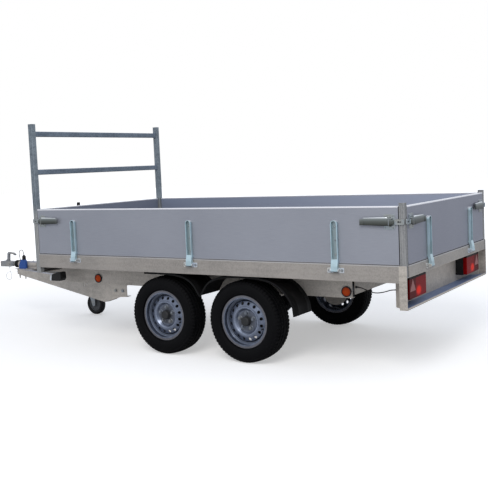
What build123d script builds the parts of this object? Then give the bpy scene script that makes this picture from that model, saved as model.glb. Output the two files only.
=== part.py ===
"""Tandem-axle flatbed trailer with drop boards, a ladder rack and a jockey-wheel jack.

Millimetres.  +X points forward along the drawbar, +Y to the trailer's left, +Z up.  The origin is on the
floor, at the middle of the whole trailer's box.  Lengths along the trailer are stations, measured forward
from the bed's rear face, which lies at X = REAR.
"""

from build123d import *
from math import atan2, cos, hypot, pi, radians, sin, sqrt, tan
import os

os.makedirs("parts", exist_ok=True)

# --- Driving dimensions -------------------------------------------------------------------------
REAR = -2235.5  # X of the bed's rear face
BED_LENGTH = 3143.0  # bed, over the frame
BED_HALF = 801.0  # half the bed's width, over the frame
FRAME_TOP = 713.0
FRAME_BOTTOM = 608.0
BOARD_TOP = 1070.0
REAR_POST_TOP = 1089.0
RACK_TOP = 1746.0  # top of the front posts
RACK_RAILS = (1667.0, 1364.0)  # heights of the ladder rack's two rails
LIGHT_BEAM_BOTTOM = 446.0

AXLES = {"rear": 1200.0, "front": 1896.0}  # stations of the wheel centres
WHEEL_RADIUS = 286.0
TYRE_WIDTH = 177.0
TYRE_OUTSIDE = 771.0  # Y of the tyre's outer wall
COUPLING_TIP = 4498.0  # station of the coupling's nose

CORNER_PLATE = 50.0  # plates that close the rear corners, along the trailer
REAR_POST = (38.0, 34.0)  # rear posts' section, along and across the trailer
RACK_POST = 42.0  # front posts are square
POST_INSET = 4.0  # posts' outer faces behind the frame's
SHEET = 4.0  # folded steel of the frame, chassis and drawbar
SHELF_TOP = 694.0  # ledge that carries the deck
DECK = 15.0  # deck panel
BOARD = 25.0  # drop boards
BOARD_INSET = 4.0  # board face behind the frame's outer face
MOVING_GAP = 5.0  # between a board and what it closes against

HINGE_OUT = 16.0  # hinge axis, outside the frame's face
HINGE_HEIGHT = 674.0
PIN_RADIUS = 6.0
PIN_FIT = 0.05  # radial clearance of every turning pin


# --- Planes and helpers -------------------------------------------------------------------------
def across(station):
    """Plane square to the trailer: sketch axes are Y and Z, and extrusions go forward."""
    return Plane(origin=(REAR + station, 0, 0), x_dir=(0, 1, 0), z_dir=(1, 0, 0))


def beside(y):
    """Upright plane along the trailer: sketch axes are station and Z, extrusions go to the right."""
    return Plane(origin=(REAR, y, 0), x_dir=(1, 0, 0), z_dir=(0, -1, 0))


def above(z):
    """Level plane: sketch axes are station and Y, and extrusions go up."""
    return Plane(origin=(REAR, 0, z), x_dir=(1, 0, 0), z_dir=(0, 0, 1))


def mirrored(piece):
    """The right-hand twin of a left-hand piece."""
    with BuildPart() as twin:
        mirror(piece.part, about=Plane.XZ)
    return twin


def paired(piece):
    """A left-hand piece and its right-hand twin, which do not touch."""
    with BuildPart() as pair:
        add(piece.part)
        mirror(about=Plane.XZ)
    return pair


pieces = {}

# --- Bed frame: folded steel round the deck -----------------------------------------------------
FLANGE = 38.0
LEDGE = 40.0
RETURN = 14.0
FRONT_POST = BED_LENGTH - POST_INSET - RACK_POST  # station of the front posts' rear faces

with BuildPart() as frame_rail_left:
    with BuildSketch(across(CORNER_PLATE)):
        web = BED_HALF - SHEET
        toe = web - FLANGE
        ledge = web - LEDGE
        with BuildLine():
            Polyline(
                (BED_HALF, FRAME_BOTTOM),
                (BED_HALF, FRAME_TOP),
                (web, FRAME_TOP),
                (web, SHELF_TOP),
                (ledge, SHELF_TOP),
                (ledge, SHELF_TOP - SHEET),
                (web, SHELF_TOP - SHEET),
                (web, FRAME_BOTTOM + SHEET),
                (toe + SHEET, FRAME_BOTTOM + SHEET),
                (toe + SHEET, FRAME_BOTTOM + RETURN),
                (toe, FRAME_BOTTOM + RETURN),
                (toe, FRAME_BOTTOM),
                close=True,
            )
        make_face()
    extrude(amount=FRONT_POST - CORNER_PLATE)
pieces["frame_side_rails"] = paired(frame_rail_left)

FRONT_BEAM_BOTTOM = 562.0
REAR_BEAM_BOTTOM = 644.0
FRONT_INSIDE = BED_HALF - POST_INSET - RACK_POST  # Y of the front posts' inner faces
REAR_INSIDE = BED_HALF - POST_INSET - REAR_POST[1]

with BuildPart() as end_beams:
    with BuildSketch(beside(FRONT_INSIDE)):
        web = BED_LENGTH - SHEET
        with BuildLine():
            Polyline(
                (BED_LENGTH, FRONT_BEAM_BOTTOM),
                (BED_LENGTH, FRAME_TOP),
                (web, FRAME_TOP),
                (web, SHELF_TOP),
                (web - LEDGE, SHELF_TOP),
                (web - LEDGE, SHELF_TOP - SHEET),
                (web, SHELF_TOP - SHEET),
                (web, FRONT_BEAM_BOTTOM + SHEET),
                (web - FLANGE, FRONT_BEAM_BOTTOM + SHEET),
                (web - FLANGE, FRONT_BEAM_BOTTOM),
                close=True,
            )
        make_face()
    extrude(amount=2 * FRONT_INSIDE)
    with BuildSketch(beside(REAR_INSIDE)):
        with BuildLine():
            Polyline(
                (0, REAR_BEAM_BOTTOM),
                (0, FRAME_TOP),
                (SHEET, FRAME_TOP),
                (SHEET, SHELF_TOP),
                (SHEET + LEDGE, SHELF_TOP),
                (SHEET + LEDGE, SHELF_TOP - SHEET),
                (SHEET, SHELF_TOP - SHEET),
                (SHEET, REAR_BEAM_BOTTOM + SHEET),
                (SHEET + LEDGE, REAR_BEAM_BOTTOM + SHEET),
                (SHEET + LEDGE, REAR_BEAM_BOTTOM),
                close=True,
            )
        make_face()
    extrude(amount=2 * REAR_INSIDE)
pieces["end_beams"] = end_beams

# The light beam is folded sheet: roof, back, floor and a small upturned lip, with slanted ends.
RECESS = 106.0  # depth of the lamp recess
BEAM_SHEET = 3.0
LIP = 14.0
BEAM_HALF = BED_HALF - SHEET
SHOULDER = 757.0  # Y where the beam's ends start to slant, clear of the side rails
SLANT_END = 712.0  # and where they meet the back plate


def beam_outline(mouth, back, corner, shoulder, slant_end):
    """Closed plan of the light beam from `mouth` forward to `back`, with its two front corners cut off."""
    half = [(mouth, BEAM_HALF), (corner, BEAM_HALF), (corner, shoulder), (back, slant_end)]
    return half + [(station, -y) for station, y in reversed(half)]


with BuildPart() as light_beam:
    back = RECESS + BEAM_SHEET
    with BuildSketch(above(LIGHT_BEAM_BOTTOM)):
        with BuildLine():
            Polyline(*beam_outline(0, back, CORNER_PLATE, SHOULDER, SLANT_END), close=True)
        make_face()
    extrude(amount=REAR_BEAM_BOTTOM - LIGHT_BEAM_BOTTOM)
    slope = (SHOULDER - SLANT_END) / (back - CORNER_PLATE)
    shift = BEAM_SHEET * (slope - hypot(1, slope))
    inside = (-1, RECESS, CORNER_PLATE - BEAM_SHEET, SHOULDER + shift, SLANT_END + shift)
    with BuildSketch(above(LIGHT_BEAM_BOTTOM + BEAM_SHEET)):
        with BuildLine():
            Polyline(*beam_outline(*inside), close=True)
        make_face()
    extrude(amount=REAR_BEAM_BOTTOM - LIGHT_BEAM_BOTTOM - 2 * BEAM_SHEET, mode=Mode.SUBTRACT)
    with BuildSketch(across(0)):
        with Locations((0, LIGHT_BEAM_BOTTOM + LIP / 2)):
            Rectangle(2 * BEAM_HALF, LIP)
    extrude(amount=BEAM_SHEET)
pieces["light_beam"] = light_beam

# --- Corner posts: folded sections with pressed grooves, and plates that close the rear corners --
POST_WALL = 5.0
POST_CAP = 3.0
GROOVE_WIDTH = 5.0
GROOVE_DEPTH = 2.0
GROOVE_PITCH = 15.0


def corner_post(station, size, bottom, top, outer_end):
    """A left-hand post from `station` forward; `outer_end` is -1 on the rear posts, +1 on the front."""
    length, width = size
    outside = BED_HALF - POST_INSET
    centre = (station + length / 2, outside - width / 2)
    with BuildPart() as post:
        with BuildSketch(above(bottom)):
            with Locations(centre):
                RectangleRounded(length, width, 3)
                Rectangle(length - 2 * POST_WALL, width - 2 * POST_WALL, mode=Mode.SUBTRACT)
            with Locations((centre[0], outside - GROOVE_DEPTH / 2)):
                with GridLocations(GROOVE_PITCH, 0, 2, 1):
                    Rectangle(GROOVE_WIDTH, GROOVE_DEPTH, mode=Mode.SUBTRACT)
            end_groove = centre[0] + outer_end * (length - GROOVE_DEPTH) / 2
            with Locations((end_groove, centre[1])):
                with GridLocations(0, GROOVE_PITCH, 1, 2):
                    Rectangle(GROOVE_DEPTH, GROOVE_WIDTH, mode=Mode.SUBTRACT)
        extrude(amount=top - bottom - POST_CAP)
        with BuildSketch(above(top - POST_CAP)):
            with Locations(centre):
                RectangleRounded(length, width, 3)
        extrude(amount=POST_CAP)
    return post


upper_post = corner_post(POST_INSET, REAR_POST, REAR_BEAM_BOTTOM, REAR_POST_TOP, -1)
with BuildPart() as rear_post:
    add(upper_post.part)
    with BuildSketch(above(LIGHT_BEAM_BOTTOM)):
        with Locations((CORNER_PLATE / 2, BED_HALF - SHEET / 2)):
            Rectangle(CORNER_PLATE, SHEET)
    extrude(amount=FRAME_TOP - LIGHT_BEAM_BOTTOM)
    with BuildSketch(above(REAR_BEAM_BOTTOM)):
        with Locations((CORNER_PLATE - SHEET / 2, BED_HALF - POST_INSET - REAR_POST[1] / 2)):
            Rectangle(SHEET, REAR_POST[1])
    extrude(amount=FRAME_TOP - REAR_BEAM_BOTTOM)
pieces["rear_posts"] = paired(rear_post)
pieces["front_posts"] = paired(
    corner_post(FRONT_POST, (RACK_POST, RACK_POST), FRONT_BEAM_BOTTOM, RACK_TOP, 1)
)

# --- Ladder rack rails --------------------------------------------------------------------------
RAIL_HEIGHT = 42.0
RAIL_DEPTH = 30.0
RAIL_WALL = 3.0
with BuildPart() as rack_rails:
    with BuildSketch(beside(FRONT_INSIDE)):
        with Locations(*[(FRONT_POST + RACK_POST / 2, rail_z) for rail_z in RACK_RAILS]):
            RectangleRounded(RAIL_DEPTH, RAIL_HEIGHT, 6)
            Rectangle(RAIL_DEPTH - 2 * RAIL_WALL, RAIL_HEIGHT - 2 * RAIL_WALL, mode=Mode.SUBTRACT)
    extrude(amount=2 * FRONT_INSIDE)
pieces["rack_rails"] = rack_rails

# --- Deck and the cross members under it --------------------------------------------------------
DECK_CORNER = 52.0  # square cut out of the deck round each post
with BuildPart() as deck_floor:
    with BuildSketch(above(SHELF_TOP)):
        with Locations((BED_LENGTH / 2, 0)):
            Rectangle(BED_LENGTH - 2 * SHEET, 2 * (BED_HALF - SHEET))
            with GridLocations(BED_LENGTH - DECK_CORNER, 2 * BED_HALF - DECK_CORNER, 2, 2):
                Rectangle(DECK_CORNER, DECK_CORNER, mode=Mode.SUBTRACT)
    extrude(amount=DECK)
pieces["deck_floor"] = deck_floor

MEMBER_TOP = 612.0
MEMBER_BOTTOM = 455.0
MEMBER_OUT = 545.0  # outer face of each chassis member
MEMBER_FLANGE = 40.0
MEMBER_REAR = 480.0
MEMBER_FRONT = FRONT_POST + 2.0
CROSS_STATIONS = (560.0, 1050.0, 1548.0, 2050.0, 2600.0)
CROSS_WIDTH = 45.0
TIE_BOTTOM = 472.0
TIE_TOP = 596.0

with BuildPart() as cross_members:
    for station in CROSS_STATIONS:
        with BuildSketch(beside(BED_HALF - SHEET - LEDGE)):
            with BuildLine():
                Polyline(
                    (station, MEMBER_TOP),
                    (station, SHELF_TOP),
                    (station + CROSS_WIDTH, SHELF_TOP),
                    (station + CROSS_WIDTH, SHELF_TOP - SHEET),
                    (station + SHEET, SHELF_TOP - SHEET),
                    (station + SHEET, MEMBER_TOP + SHEET),
                    (station + CROSS_WIDTH, MEMBER_TOP + SHEET),
                    (station + CROSS_WIDTH, MEMBER_TOP),
                    close=True,
                )
            make_face()
        extrude(amount=2 * (BED_HALF - SHEET - LEDGE))
    with BuildSketch(beside(MEMBER_OUT - MEMBER_FLANGE)):
        with BuildLine():
            Polyline(
                (MEMBER_REAR, TIE_BOTTOM),
                (MEMBER_REAR, TIE_TOP),
                (MEMBER_REAR + MEMBER_FLANGE, TIE_TOP),
                (MEMBER_REAR + MEMBER_FLANGE, TIE_TOP - SHEET),
                (MEMBER_REAR + SHEET, TIE_TOP - SHEET),
                (MEMBER_REAR + SHEET, TIE_BOTTOM + SHEET),
                (MEMBER_REAR + MEMBER_FLANGE, TIE_BOTTOM + SHEET),
                (MEMBER_REAR + MEMBER_FLANGE, TIE_BOTTOM),
                close=True,
            )
        make_face()
    extrude(amount=2 * (MEMBER_OUT - MEMBER_FLANGE))
pieces["cross_members"] = cross_members

with BuildPart() as chassis_member_left:
    with BuildSketch(across(MEMBER_REAR)):
        with BuildLine():
            Polyline(
                (MEMBER_OUT, MEMBER_BOTTOM),
                (MEMBER_OUT, MEMBER_TOP),
                (MEMBER_OUT - MEMBER_FLANGE, MEMBER_TOP),
                (MEMBER_OUT - MEMBER_FLANGE, MEMBER_TOP - SHEET),
                (MEMBER_OUT - SHEET, MEMBER_TOP - SHEET),
                (MEMBER_OUT - SHEET, MEMBER_BOTTOM + SHEET),
                (MEMBER_OUT - MEMBER_FLANGE, MEMBER_BOTTOM + SHEET),
                (MEMBER_OUT - MEMBER_FLANGE, MEMBER_BOTTOM),
                close=True,
            )
        make_face()
    extrude(amount=MEMBER_FRONT - MEMBER_REAR)
pieces["chassis_members"] = paired(chassis_member_left)

# --- Drawbar legs: deep tapered channels, bent inwards under the chassis members ----------------
LEG_BEND = 2575.0  # station where the leg turns in
LEG_REAR = 2420.0
LEG_FRONT = 4222.0
LEG_NOSE_HALF = 55.0  # Y of the leg's outer face at its front end
LEG_TOP = MEMBER_BOTTOM
LEG_DEEP = 2690.0  # station of the deepest point
LEG_DEEP_Z = 300.0
LEG_NOSE_Z = 408.0
LEG_REAR_Z = 361.0
LEG_STEP = 2500.0
LEG_STEP_Z = 355.0
LEG_TOP_FLANGE = 45.0
LEG_LUGS = (4060.0, 4175.0)  # pointed lugs for the safety chains

toe_in = atan2(MEMBER_OUT - LEG_NOSE_HALF, LEG_FRONT - LEG_BEND)
leg_length = hypot(MEMBER_OUT - LEG_NOSE_HALF, LEG_FRONT - LEG_BEND)
along_leg = 1 / cos(toe_in)
leg_plane = Plane(
    origin=(REAR + LEG_BEND, MEMBER_OUT, 0),
    x_dir=(cos(toe_in), -sin(toe_in), 0),
    z_dir=(-sin(toe_in), -cos(toe_in), 0),
)
bend_z = LEG_DEEP_Z + (LEG_STEP_Z - LEG_DEEP_Z) * (LEG_DEEP - LEG_BEND) / (LEG_DEEP - LEG_STEP)


def leg_web(drop):
    """Outline of the V part of the leg, drawn in by `drop` at its top and bottom edges."""
    deep = (LEG_DEEP - LEG_BEND) * along_leg
    with BuildLine() as outline:
        Polyline(
            (0, bend_z + drop),
            (deep, LEG_DEEP_Z + drop),
            (leg_length, LEG_NOSE_Z + drop),
            (leg_length, LEG_TOP - drop),
            (0, LEG_TOP - drop),
            close=True,
        )
    return outline.line


def leg_heel(drop):
    """Outline of the straight part behind the bend."""
    with BuildLine() as outline:
        Polyline(
            (LEG_REAR, LEG_REAR_Z + drop),
            (LEG_STEP, LEG_STEP_Z + drop),
            (LEG_BEND, bend_z + drop),
            (LEG_BEND, LEG_TOP - drop),
            (LEG_REAR, LEG_TOP - drop),
            close=True,
        )
    return outline.line


with BuildPart() as drawbar_leg_left:
    with BuildSketch(leg_plane):
        add(leg_web(0))
        make_face()
    extrude(amount=LEG_TOP_FLANGE)
    with BuildSketch(beside(MEMBER_OUT)):
        add(leg_heel(0))
        make_face()
    extrude(amount=LEG_TOP_FLANGE)
    with BuildSketch(leg_plane.offset(SHEET)):
        add(leg_web(SHEET))
        make_face()
    extrude(amount=LEG_TOP_FLANGE, mode=Mode.SUBTRACT)
    with BuildSketch(beside(MEMBER_OUT - SHEET)):
        add(leg_heel(SHEET))
        make_face()
    extrude(amount=LEG_TOP_FLANGE, mode=Mode.SUBTRACT)
    with BuildSketch(beside(MEMBER_OUT)):
        with Locations((2460, 408), (2533, 408)):
            Circle(7)
    extrude(amount=SHEET, mode=Mode.SUBTRACT)
    with BuildSketch(leg_plane):
        for slot_station, slot_z in ((2960, 415), (3000, 414)):
            with Locations(((slot_station - LEG_BEND) * along_leg, slot_z)):
                SlotOverall(34, 9, rotation=90)
    extrude(amount=SHEET, mode=Mode.SUBTRACT)
    with BuildSketch(leg_plane):
        for lug_station in LEG_LUGS:
            lug = (lug_station - LEG_BEND) * along_leg
            with BuildLine():
                Polyline(
                    (lug - 14, LEG_NOSE_Z + 12),
                    (lug - 14, LEG_NOSE_Z - 10),
                    (lug - 5, LEG_NOSE_Z - 36),
                    (lug + 5, LEG_NOSE_Z - 36),
                    (lug + 14, LEG_NOSE_Z - 10),
                    (lug + 14, LEG_NOSE_Z + 12),
                    close=True,
                )
            make_face()
    extrude(amount=SHEET)
pieces["drawbar_leg_left"] = drawbar_leg_left
pieces["drawbar_leg_right"] = mirrored(drawbar_leg_left)

# --- Overrun coupling ---------------------------------------------------------------------------
SHAFT_Z = 498.0
SHAFT_RADIUS = 22.0
HOUSING_REAR = 3990.0
HOUSING_FRONT = 4236.0
BELLOWS_FRONT = 4284.0
NOSE_PLATE = 4214.0
LEVER_Y = -44.0  # the handbrake lever's inner face
LEAD_STATION, LEAD_Y, LEAD_Z = 4210.0, 22.0, 528.0  # where the plug's lead enters its clip
BALL_RADIUS = 25.4
BALL_STATION = 4462.0
BALL_Z = 488.0

with BuildPart() as coupling_housing:
    with BuildSketch(across(HOUSING_REAR)):
        with Locations((0, SHAFT_Z)):
            Circle(32)
        with Locations((0, (LEG_TOP + SHAFT_Z) / 2)):
            Rectangle(50, SHAFT_Z - LEG_TOP)
        with Locations((0, LEG_TOP + 3)):
            Rectangle(140, 6)
        with Locations((0, SHAFT_Z)):
            Circle(SHAFT_RADIUS, mode=Mode.SUBTRACT)
    extrude(amount=HOUSING_FRONT - HOUSING_REAR)
    with BuildSketch(across(NOSE_PLATE)):
        with Locations((0, (LEG_NOSE_Z + LEG_TOP) / 2)):
            RectangleRounded(2 * (LEG_NOSE_HALF - SHEET), LEG_TOP - LEG_NOSE_Z - 2 * SHEET - 1, 4)
            Rectangle(16, LEG_TOP - LEG_NOSE_Z - 2 * SHEET - 1)
        with Locations((0, LEG_TOP - 10)):
            Rectangle(16, 20)
    extrude(amount=6)
    with BuildSketch(beside(LEVER_Y + 19)):
        with BuildLine():
            Polyline(
                (4030, LEG_TOP + 6),
                (4030, 486),
                (4044, 502),
                (4076, 502),
                (4090, LEG_TOP + 6),
                close=True,
            )
        make_face()
    extrude(amount=19)
    with BuildSketch(above(LEAD_Z - 11)):
        with Locations((LEAD_STATION, LEAD_Y)):
            RectangleRounded(18, 16, 3)
    extrude(amount=11)
pieces["coupling_housing"] = coupling_housing

with BuildPart() as coupling_bellows:
    fold_count = 5
    fold = (BELLOWS_FRONT - HOUSING_FRONT) / fold_count
    with BuildSketch(beside(0)):
        with BuildLine():
            crest, valley = SHAFT_Z + 36, SHAFT_Z + 29
            points = [(HOUSING_FRONT, SHAFT_Z + SHAFT_RADIUS), (HOUSING_FRONT, valley)]
            for k in range(fold_count):
                points.append((HOUSING_FRONT + (k + 0.5) * fold, crest))
                points.append((HOUSING_FRONT + (k + 1) * fold, valley))
            points.append((BELLOWS_FRONT, SHAFT_Z + SHAFT_RADIUS))
            Polyline(*points, close=True)
        make_face()
    revolve(axis=Axis((REAR, 0, SHAFT_Z), (1, 0, 0)))
pieces["coupling_bellows"] = coupling_bellows

NECK = 4310.0  # station where the drawn tube enters the head
HEAD_BOTTOM = 470.0
HEAD_TOP = 522.0

with BuildPart() as coupling_head:
    nose_half = COUPLING_TIP - BALL_STATION
    with BuildSketch(above(HEAD_BOTTOM)):
        with Locations((BALL_STATION, 0)):
            Circle(nose_half)
        with BuildLine():
            Polyline(
                (BALL_STATION, nose_half),
                (NECK + 60, 27),
                (NECK, 27),
                (NECK, -27),
                (NECK + 60, -27),
                (BALL_STATION, -nose_half),
                close=True,
            )
        make_face()
    extrude(amount=HEAD_TOP - HEAD_BOTTOM)
    with BuildSketch(beside(60)):
        with BuildLine():
            Line((NECK, HEAD_BOTTOM + 6), (NECK + 40, HEAD_BOTTOM))
            Line((NECK + 40, HEAD_BOTTOM), (COUPLING_TIP, HEAD_BOTTOM))
            Line((COUPLING_TIP, HEAD_BOTTOM), (COUPLING_TIP, HEAD_TOP - 26))
            RadiusArc((COUPLING_TIP, HEAD_TOP - 26), (COUPLING_TIP - 26, HEAD_TOP), -26)
            Line((COUPLING_TIP - 26, HEAD_TOP), (NECK + 30, HEAD_TOP))
            Line((NECK + 30, HEAD_TOP), (NECK, HEAD_TOP - 4))
            Line((NECK, HEAD_TOP - 4), (NECK, HEAD_BOTTOM + 6))
        make_face()
    extrude(amount=120, mode=Mode.INTERSECT)
    with BuildSketch(Plane(origin=(REAR + BALL_STATION, 0, BALL_Z), x_dir=(1, 0, 0), z_dir=(0, -1, 0))):
        with BuildLine():
            Line((0, BALL_RADIUS), (0, -60))
            Line((0, -60), (BALL_RADIUS, -60))
            Line((BALL_RADIUS, -60), (BALL_RADIUS, 0))
            CenterArc((0, 0), BALL_RADIUS, 0, 90)
        make_face()
    revolve(axis=Axis((REAR + BALL_STATION, 0, 0), (0, 0, 1)), mode=Mode.SUBTRACT)
    with BuildSketch(across(HOUSING_REAR + 40)):
        with Locations((0, SHAFT_Z)):
            Circle(SHAFT_RADIUS)
    extrude(amount=NECK - HOUSING_REAR - 40)
pieces["coupling_head"] = coupling_head

with BuildPart() as coupling_handle:
    with BuildSketch(beside(11)) as handle_side:
        with BuildLine():
            Polyline(
                (4424, HEAD_TOP),
                (4386, HEAD_TOP),
                (4380, 592),
                (4322, 590),
                (4300, 578),
                (4292, 588),
                (4318, 604),
                (4388, 610),
                (4400, 598),
                (4408, 540),
                (4424, 534),
                close=True,
            )
        make_face()
        fillet(handle_side.vertices().group_by(Axis.Y)[-1], 3)
    extrude(amount=22)
pieces["coupling_handle"] = coupling_handle

BRAKE_ROD_Z = 434.0
EQUALISER = 1690.0
with BuildPart() as handbrake_lever:
    with BuildSketch(beside(LEVER_Y)) as lever_side:
        with BuildLine():
            Polyline(
                (4076, 474),
                (4076, 498),
                (3964, 498),
                (3704, 532),
                (3600, 532),
                (3600, 510),
                (3702, 510),
                (3960, 474),
                close=True,
            )
        make_face()
        fillet(lever_side.vertices().group_by(Axis.X)[0], 9)
    extrude(amount=12)
    # the brake rod under the bed, with its relay lever in front and its equaliser between the axles
    with BuildSketch(across(EQUALISER)):
        with Locations((0, BRAKE_ROD_Z)):
            Circle(5)
    extrude(amount=4050 - EQUALISER)
    with BuildSketch(beside(5)):
        with Locations((4050, (LEG_TOP + BRAKE_ROD_Z - 10) / 2)):
            SlotOverall(LEG_TOP - BRAKE_ROD_Z + 10, 18, rotation=90)
            with Locations((0, 6)):
                Rectangle(18, LEG_TOP - BRAKE_ROD_Z - 2)
    extrude(amount=10)
    with BuildSketch(across(EQUALISER)):
        with Locations((0, BRAKE_ROD_Z)):
            RectangleRounded(150, 24, 6)
    extrude(amount=8)
pieces["handbrake_lever"] = handbrake_lever

# --- Parked plug and its cables -----------------------------------------------------------------
with BuildPart() as plug_holder:
    with BuildSketch(beside(58)):
        with BuildLine():
            Polyline((4100, 461), (4190, 461), (4190, 500), (4160, 548), (4110, 548), (4100, 530), close=True)
        make_face()
    extrude(amount=22)
pieces["plug_holder"] = plug_holder

PLUG_STATION = 4128.0
with BuildPart() as plug:
    with BuildSketch(above(548)):
        with Locations((PLUG_STATION, 47)):
            Circle(17)
    extrude(amount=34)
    with BuildSketch(above(582)):
        with Locations((PLUG_STATION, 47)):
            Circle(8)
    extrude(amount=10)
pieces["plug"] = plug

LEAD_RADIUS = 3.25


def free_cord(route, thickness, label):
    """A round cord along straight runs joined by tangent arcs, as large as the two runs allow."""
    points = [Vector(*p) + Vector(REAR, 0, 0) for p in route]
    radii = []
    for before, here, after in zip(points, points[1:], points[2:]):
        turn = radians((here - before).get_angle(after - here))
        shorter = min((here - before).length, (after - here).length)
        radii.append(0.45 * shorter / tan(turn / 2))
    with BuildPart() as cord:
        with BuildLine():
            path = FilletPolyline(*points, radius=radii)
        with BuildSketch(Plane(origin=path @ 0, z_dir=path % 0)):
            Circle(thickness)
        sweep()
    print(label, "radii", [round(r) for r in radii], "length", round(path.length), end=" ")
    print("volume / section x length", round(cord.part.volume / (pi * thickness**2 * path.length), 4))
    return cord


pieces["plug_lead"] = free_cord(
    [
        (LEAD_STATION, LEAD_Y, LEAD_Z),
        (LEAD_STATION, LEAD_Y, 547),
        (4213, 23, 566),
        (4217, 25, 586),
        (4214, 28, 606),
        (4202, 32, 625),
        (4184, 36, 637),
        (4161, 40, 638),
        (4141, 44, 628),
        (4130, 46, 610),
        (PLUG_STATION, 47, 592),
    ],
    LEAD_RADIUS,
    "plug_lead",
)

# A thin wire rope hangs from the head, turns once round in a loop and runs back to the nose plate.
ROPE_RADIUS = 1.5
pieces["breakaway_cable"] = free_cord(
    [
        (4376, 12, HEAD_BOTTOM),
        (4376, 12, 448),
        (4373, 12, 424),
        (4362, 12, 401),
        (4354, 12, 376),
        (4364, 13, 350),
        (4390, 14, 337),
        (4417, 15, 348),
        (4430, 16, 373),
        (4420, 17, 399),
        (4396, 18, 414),
        (4368, 19, 419),
        (4338, 20, 417),
        (4303, 20, 418),
        (4262, 20, 424),
        (NOSE_PLATE + 6, 20, 424),
    ],
    ROPE_RADIUS,
    "breakaway_cable",
)

# The lamp lead hangs from the rear tie of the chassis to the back of the light beam.
pieces["lamp_lead"] = free_cord(
    [
        (MEMBER_REAR, 490, 520),
        (446, 490, 520),
        (406, 504, 510),
        (364, 532, 503),
        (322, 562, 502),
        (280, 592, 507),
        (238, 620, 517),
        (196, 645, 530),
        (152, 668, 546),
        (RECESS + BEAM_SHEET, 668, 546),
    ],
    LEAD_RADIUS,
    "lamp_lead",
)

# --- Torsion axles ------------------------------------------------------------------------------
ARM_LENGTH = 170.0
TUBE_Z = 380.0
TUBE = 70.0
TUBE_HALF = 560.0
arm_reach = sqrt(ARM_LENGTH**2 - (TUBE_Z - WHEEL_RADIUS) ** 2)
STUB_RADIUS = 17.0
DRUM_INNER = 640.0
MOUNT_FACE = 712.0  # where the wheel disc meets the hub

tilt = atan2(TUBE_Z - WHEEL_RADIUS, arm_reach)
HUB_BOSS = 30.0
TUBE_BOSS = 40.0
ARM_THICK = 34.0


def arm_edge(station, side):
    """The arm's straight edge above (+1) or below (-1) the line from wheel to axle tube."""
    lean = Vector(-sin(tilt), cos(tilt)) * side
    wheel_end = Vector(station, WHEEL_RADIUS) + lean * HUB_BOSS
    tube_end = Vector(station + arm_reach, TUBE_Z) + lean * TUBE_BOSS
    return wheel_end, tube_end


for axle_name, station in AXLES.items():
    tube_station = station + arm_reach
    with BuildPart() as axle_beam:
        with BuildSketch(beside(TUBE_HALF)):
            with Locations((tube_station, TUBE_Z)):
                RectangleRounded(TUBE, TUBE, 8)
        extrude(amount=2 * TUBE_HALF)
        for side in (1, -1):
            with BuildSketch(beside(side * (MEMBER_OUT - MEMBER_FLANGE / 2) + 18)):
                with BuildLine():
                    Polyline(
                        (tube_station - 60, MEMBER_BOTTOM),
                        (tube_station + 60, MEMBER_BOTTOM),
                        (tube_station + 42, TUBE_Z - 20),
                        (tube_station - 42, TUBE_Z - 20),
                        close=True,
                    )
                make_face()
            extrude(amount=36)
    pieces[f"axle_{axle_name}"] = axle_beam

with BuildPart() as arms_left:
    for station in AXLES.values():
        with BuildSketch(beside(TUBE_HALF + ARM_THICK)):
            with BuildLine():
                Polyline(*arm_edge(station, 1), *reversed(arm_edge(station, -1)), close=True)
            make_face()
            with Locations((station, WHEEL_RADIUS)):
                Circle(HUB_BOSS)
            with Locations((station + arm_reach, TUBE_Z)):
                Circle(TUBE_BOSS)
        extrude(amount=ARM_THICK)
        for radius, inner, outer in (
            (STUB_RADIUS + 10, TUBE_HALF + ARM_THICK, DRUM_INNER - 11),
            (118, DRUM_INNER - 11, DRUM_INNER - 5),
            (STUB_RADIUS, DRUM_INNER - 5, MOUNT_FACE + 10),
        ):
            with BuildSketch(beside(outer)):
                with Locations((station, WHEEL_RADIUS)):
                    Circle(radius)
            extrude(amount=outer - inner)
pieces["swing_arms"] = paired(arms_left)

# --- Road wheels --------------------------------------------------------------------------------
TYRE_MIDDLE = TYRE_OUTSIDE - TYRE_WIDTH / 2
BEAD_RADIUS = 165.0
FLANGE_RADIUS = 182.5
WELL_RADIUS = 150.5
VENTS = 16
VENT_RADIUS = 11.0
VENT_CIRCLE = 124.0
NUTS = 5
PITCH_CIRCLE = 56.0


def wheel_axis(station):
    return Axis((REAR + station, 0, WHEEL_RADIUS), (0, 1, 0))


def wheel_section(station):
    """Sketch plane through a wheel: axes are Y and the radius upwards from the wheel's centre."""
    return Plane(origin=(REAR + station, 0, WHEEL_RADIUS), x_dir=(0, 1, 0), z_dir=(1, 0, 0))


def wheel_face(station, y):
    """Plane facing out of a wheel at `y`, centred on it; extrusions go inboard."""
    return Plane(origin=(REAR + station, y, WHEEL_RADIUS), x_dir=(1, 0, 0), z_dir=(0, -1, 0))


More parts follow.
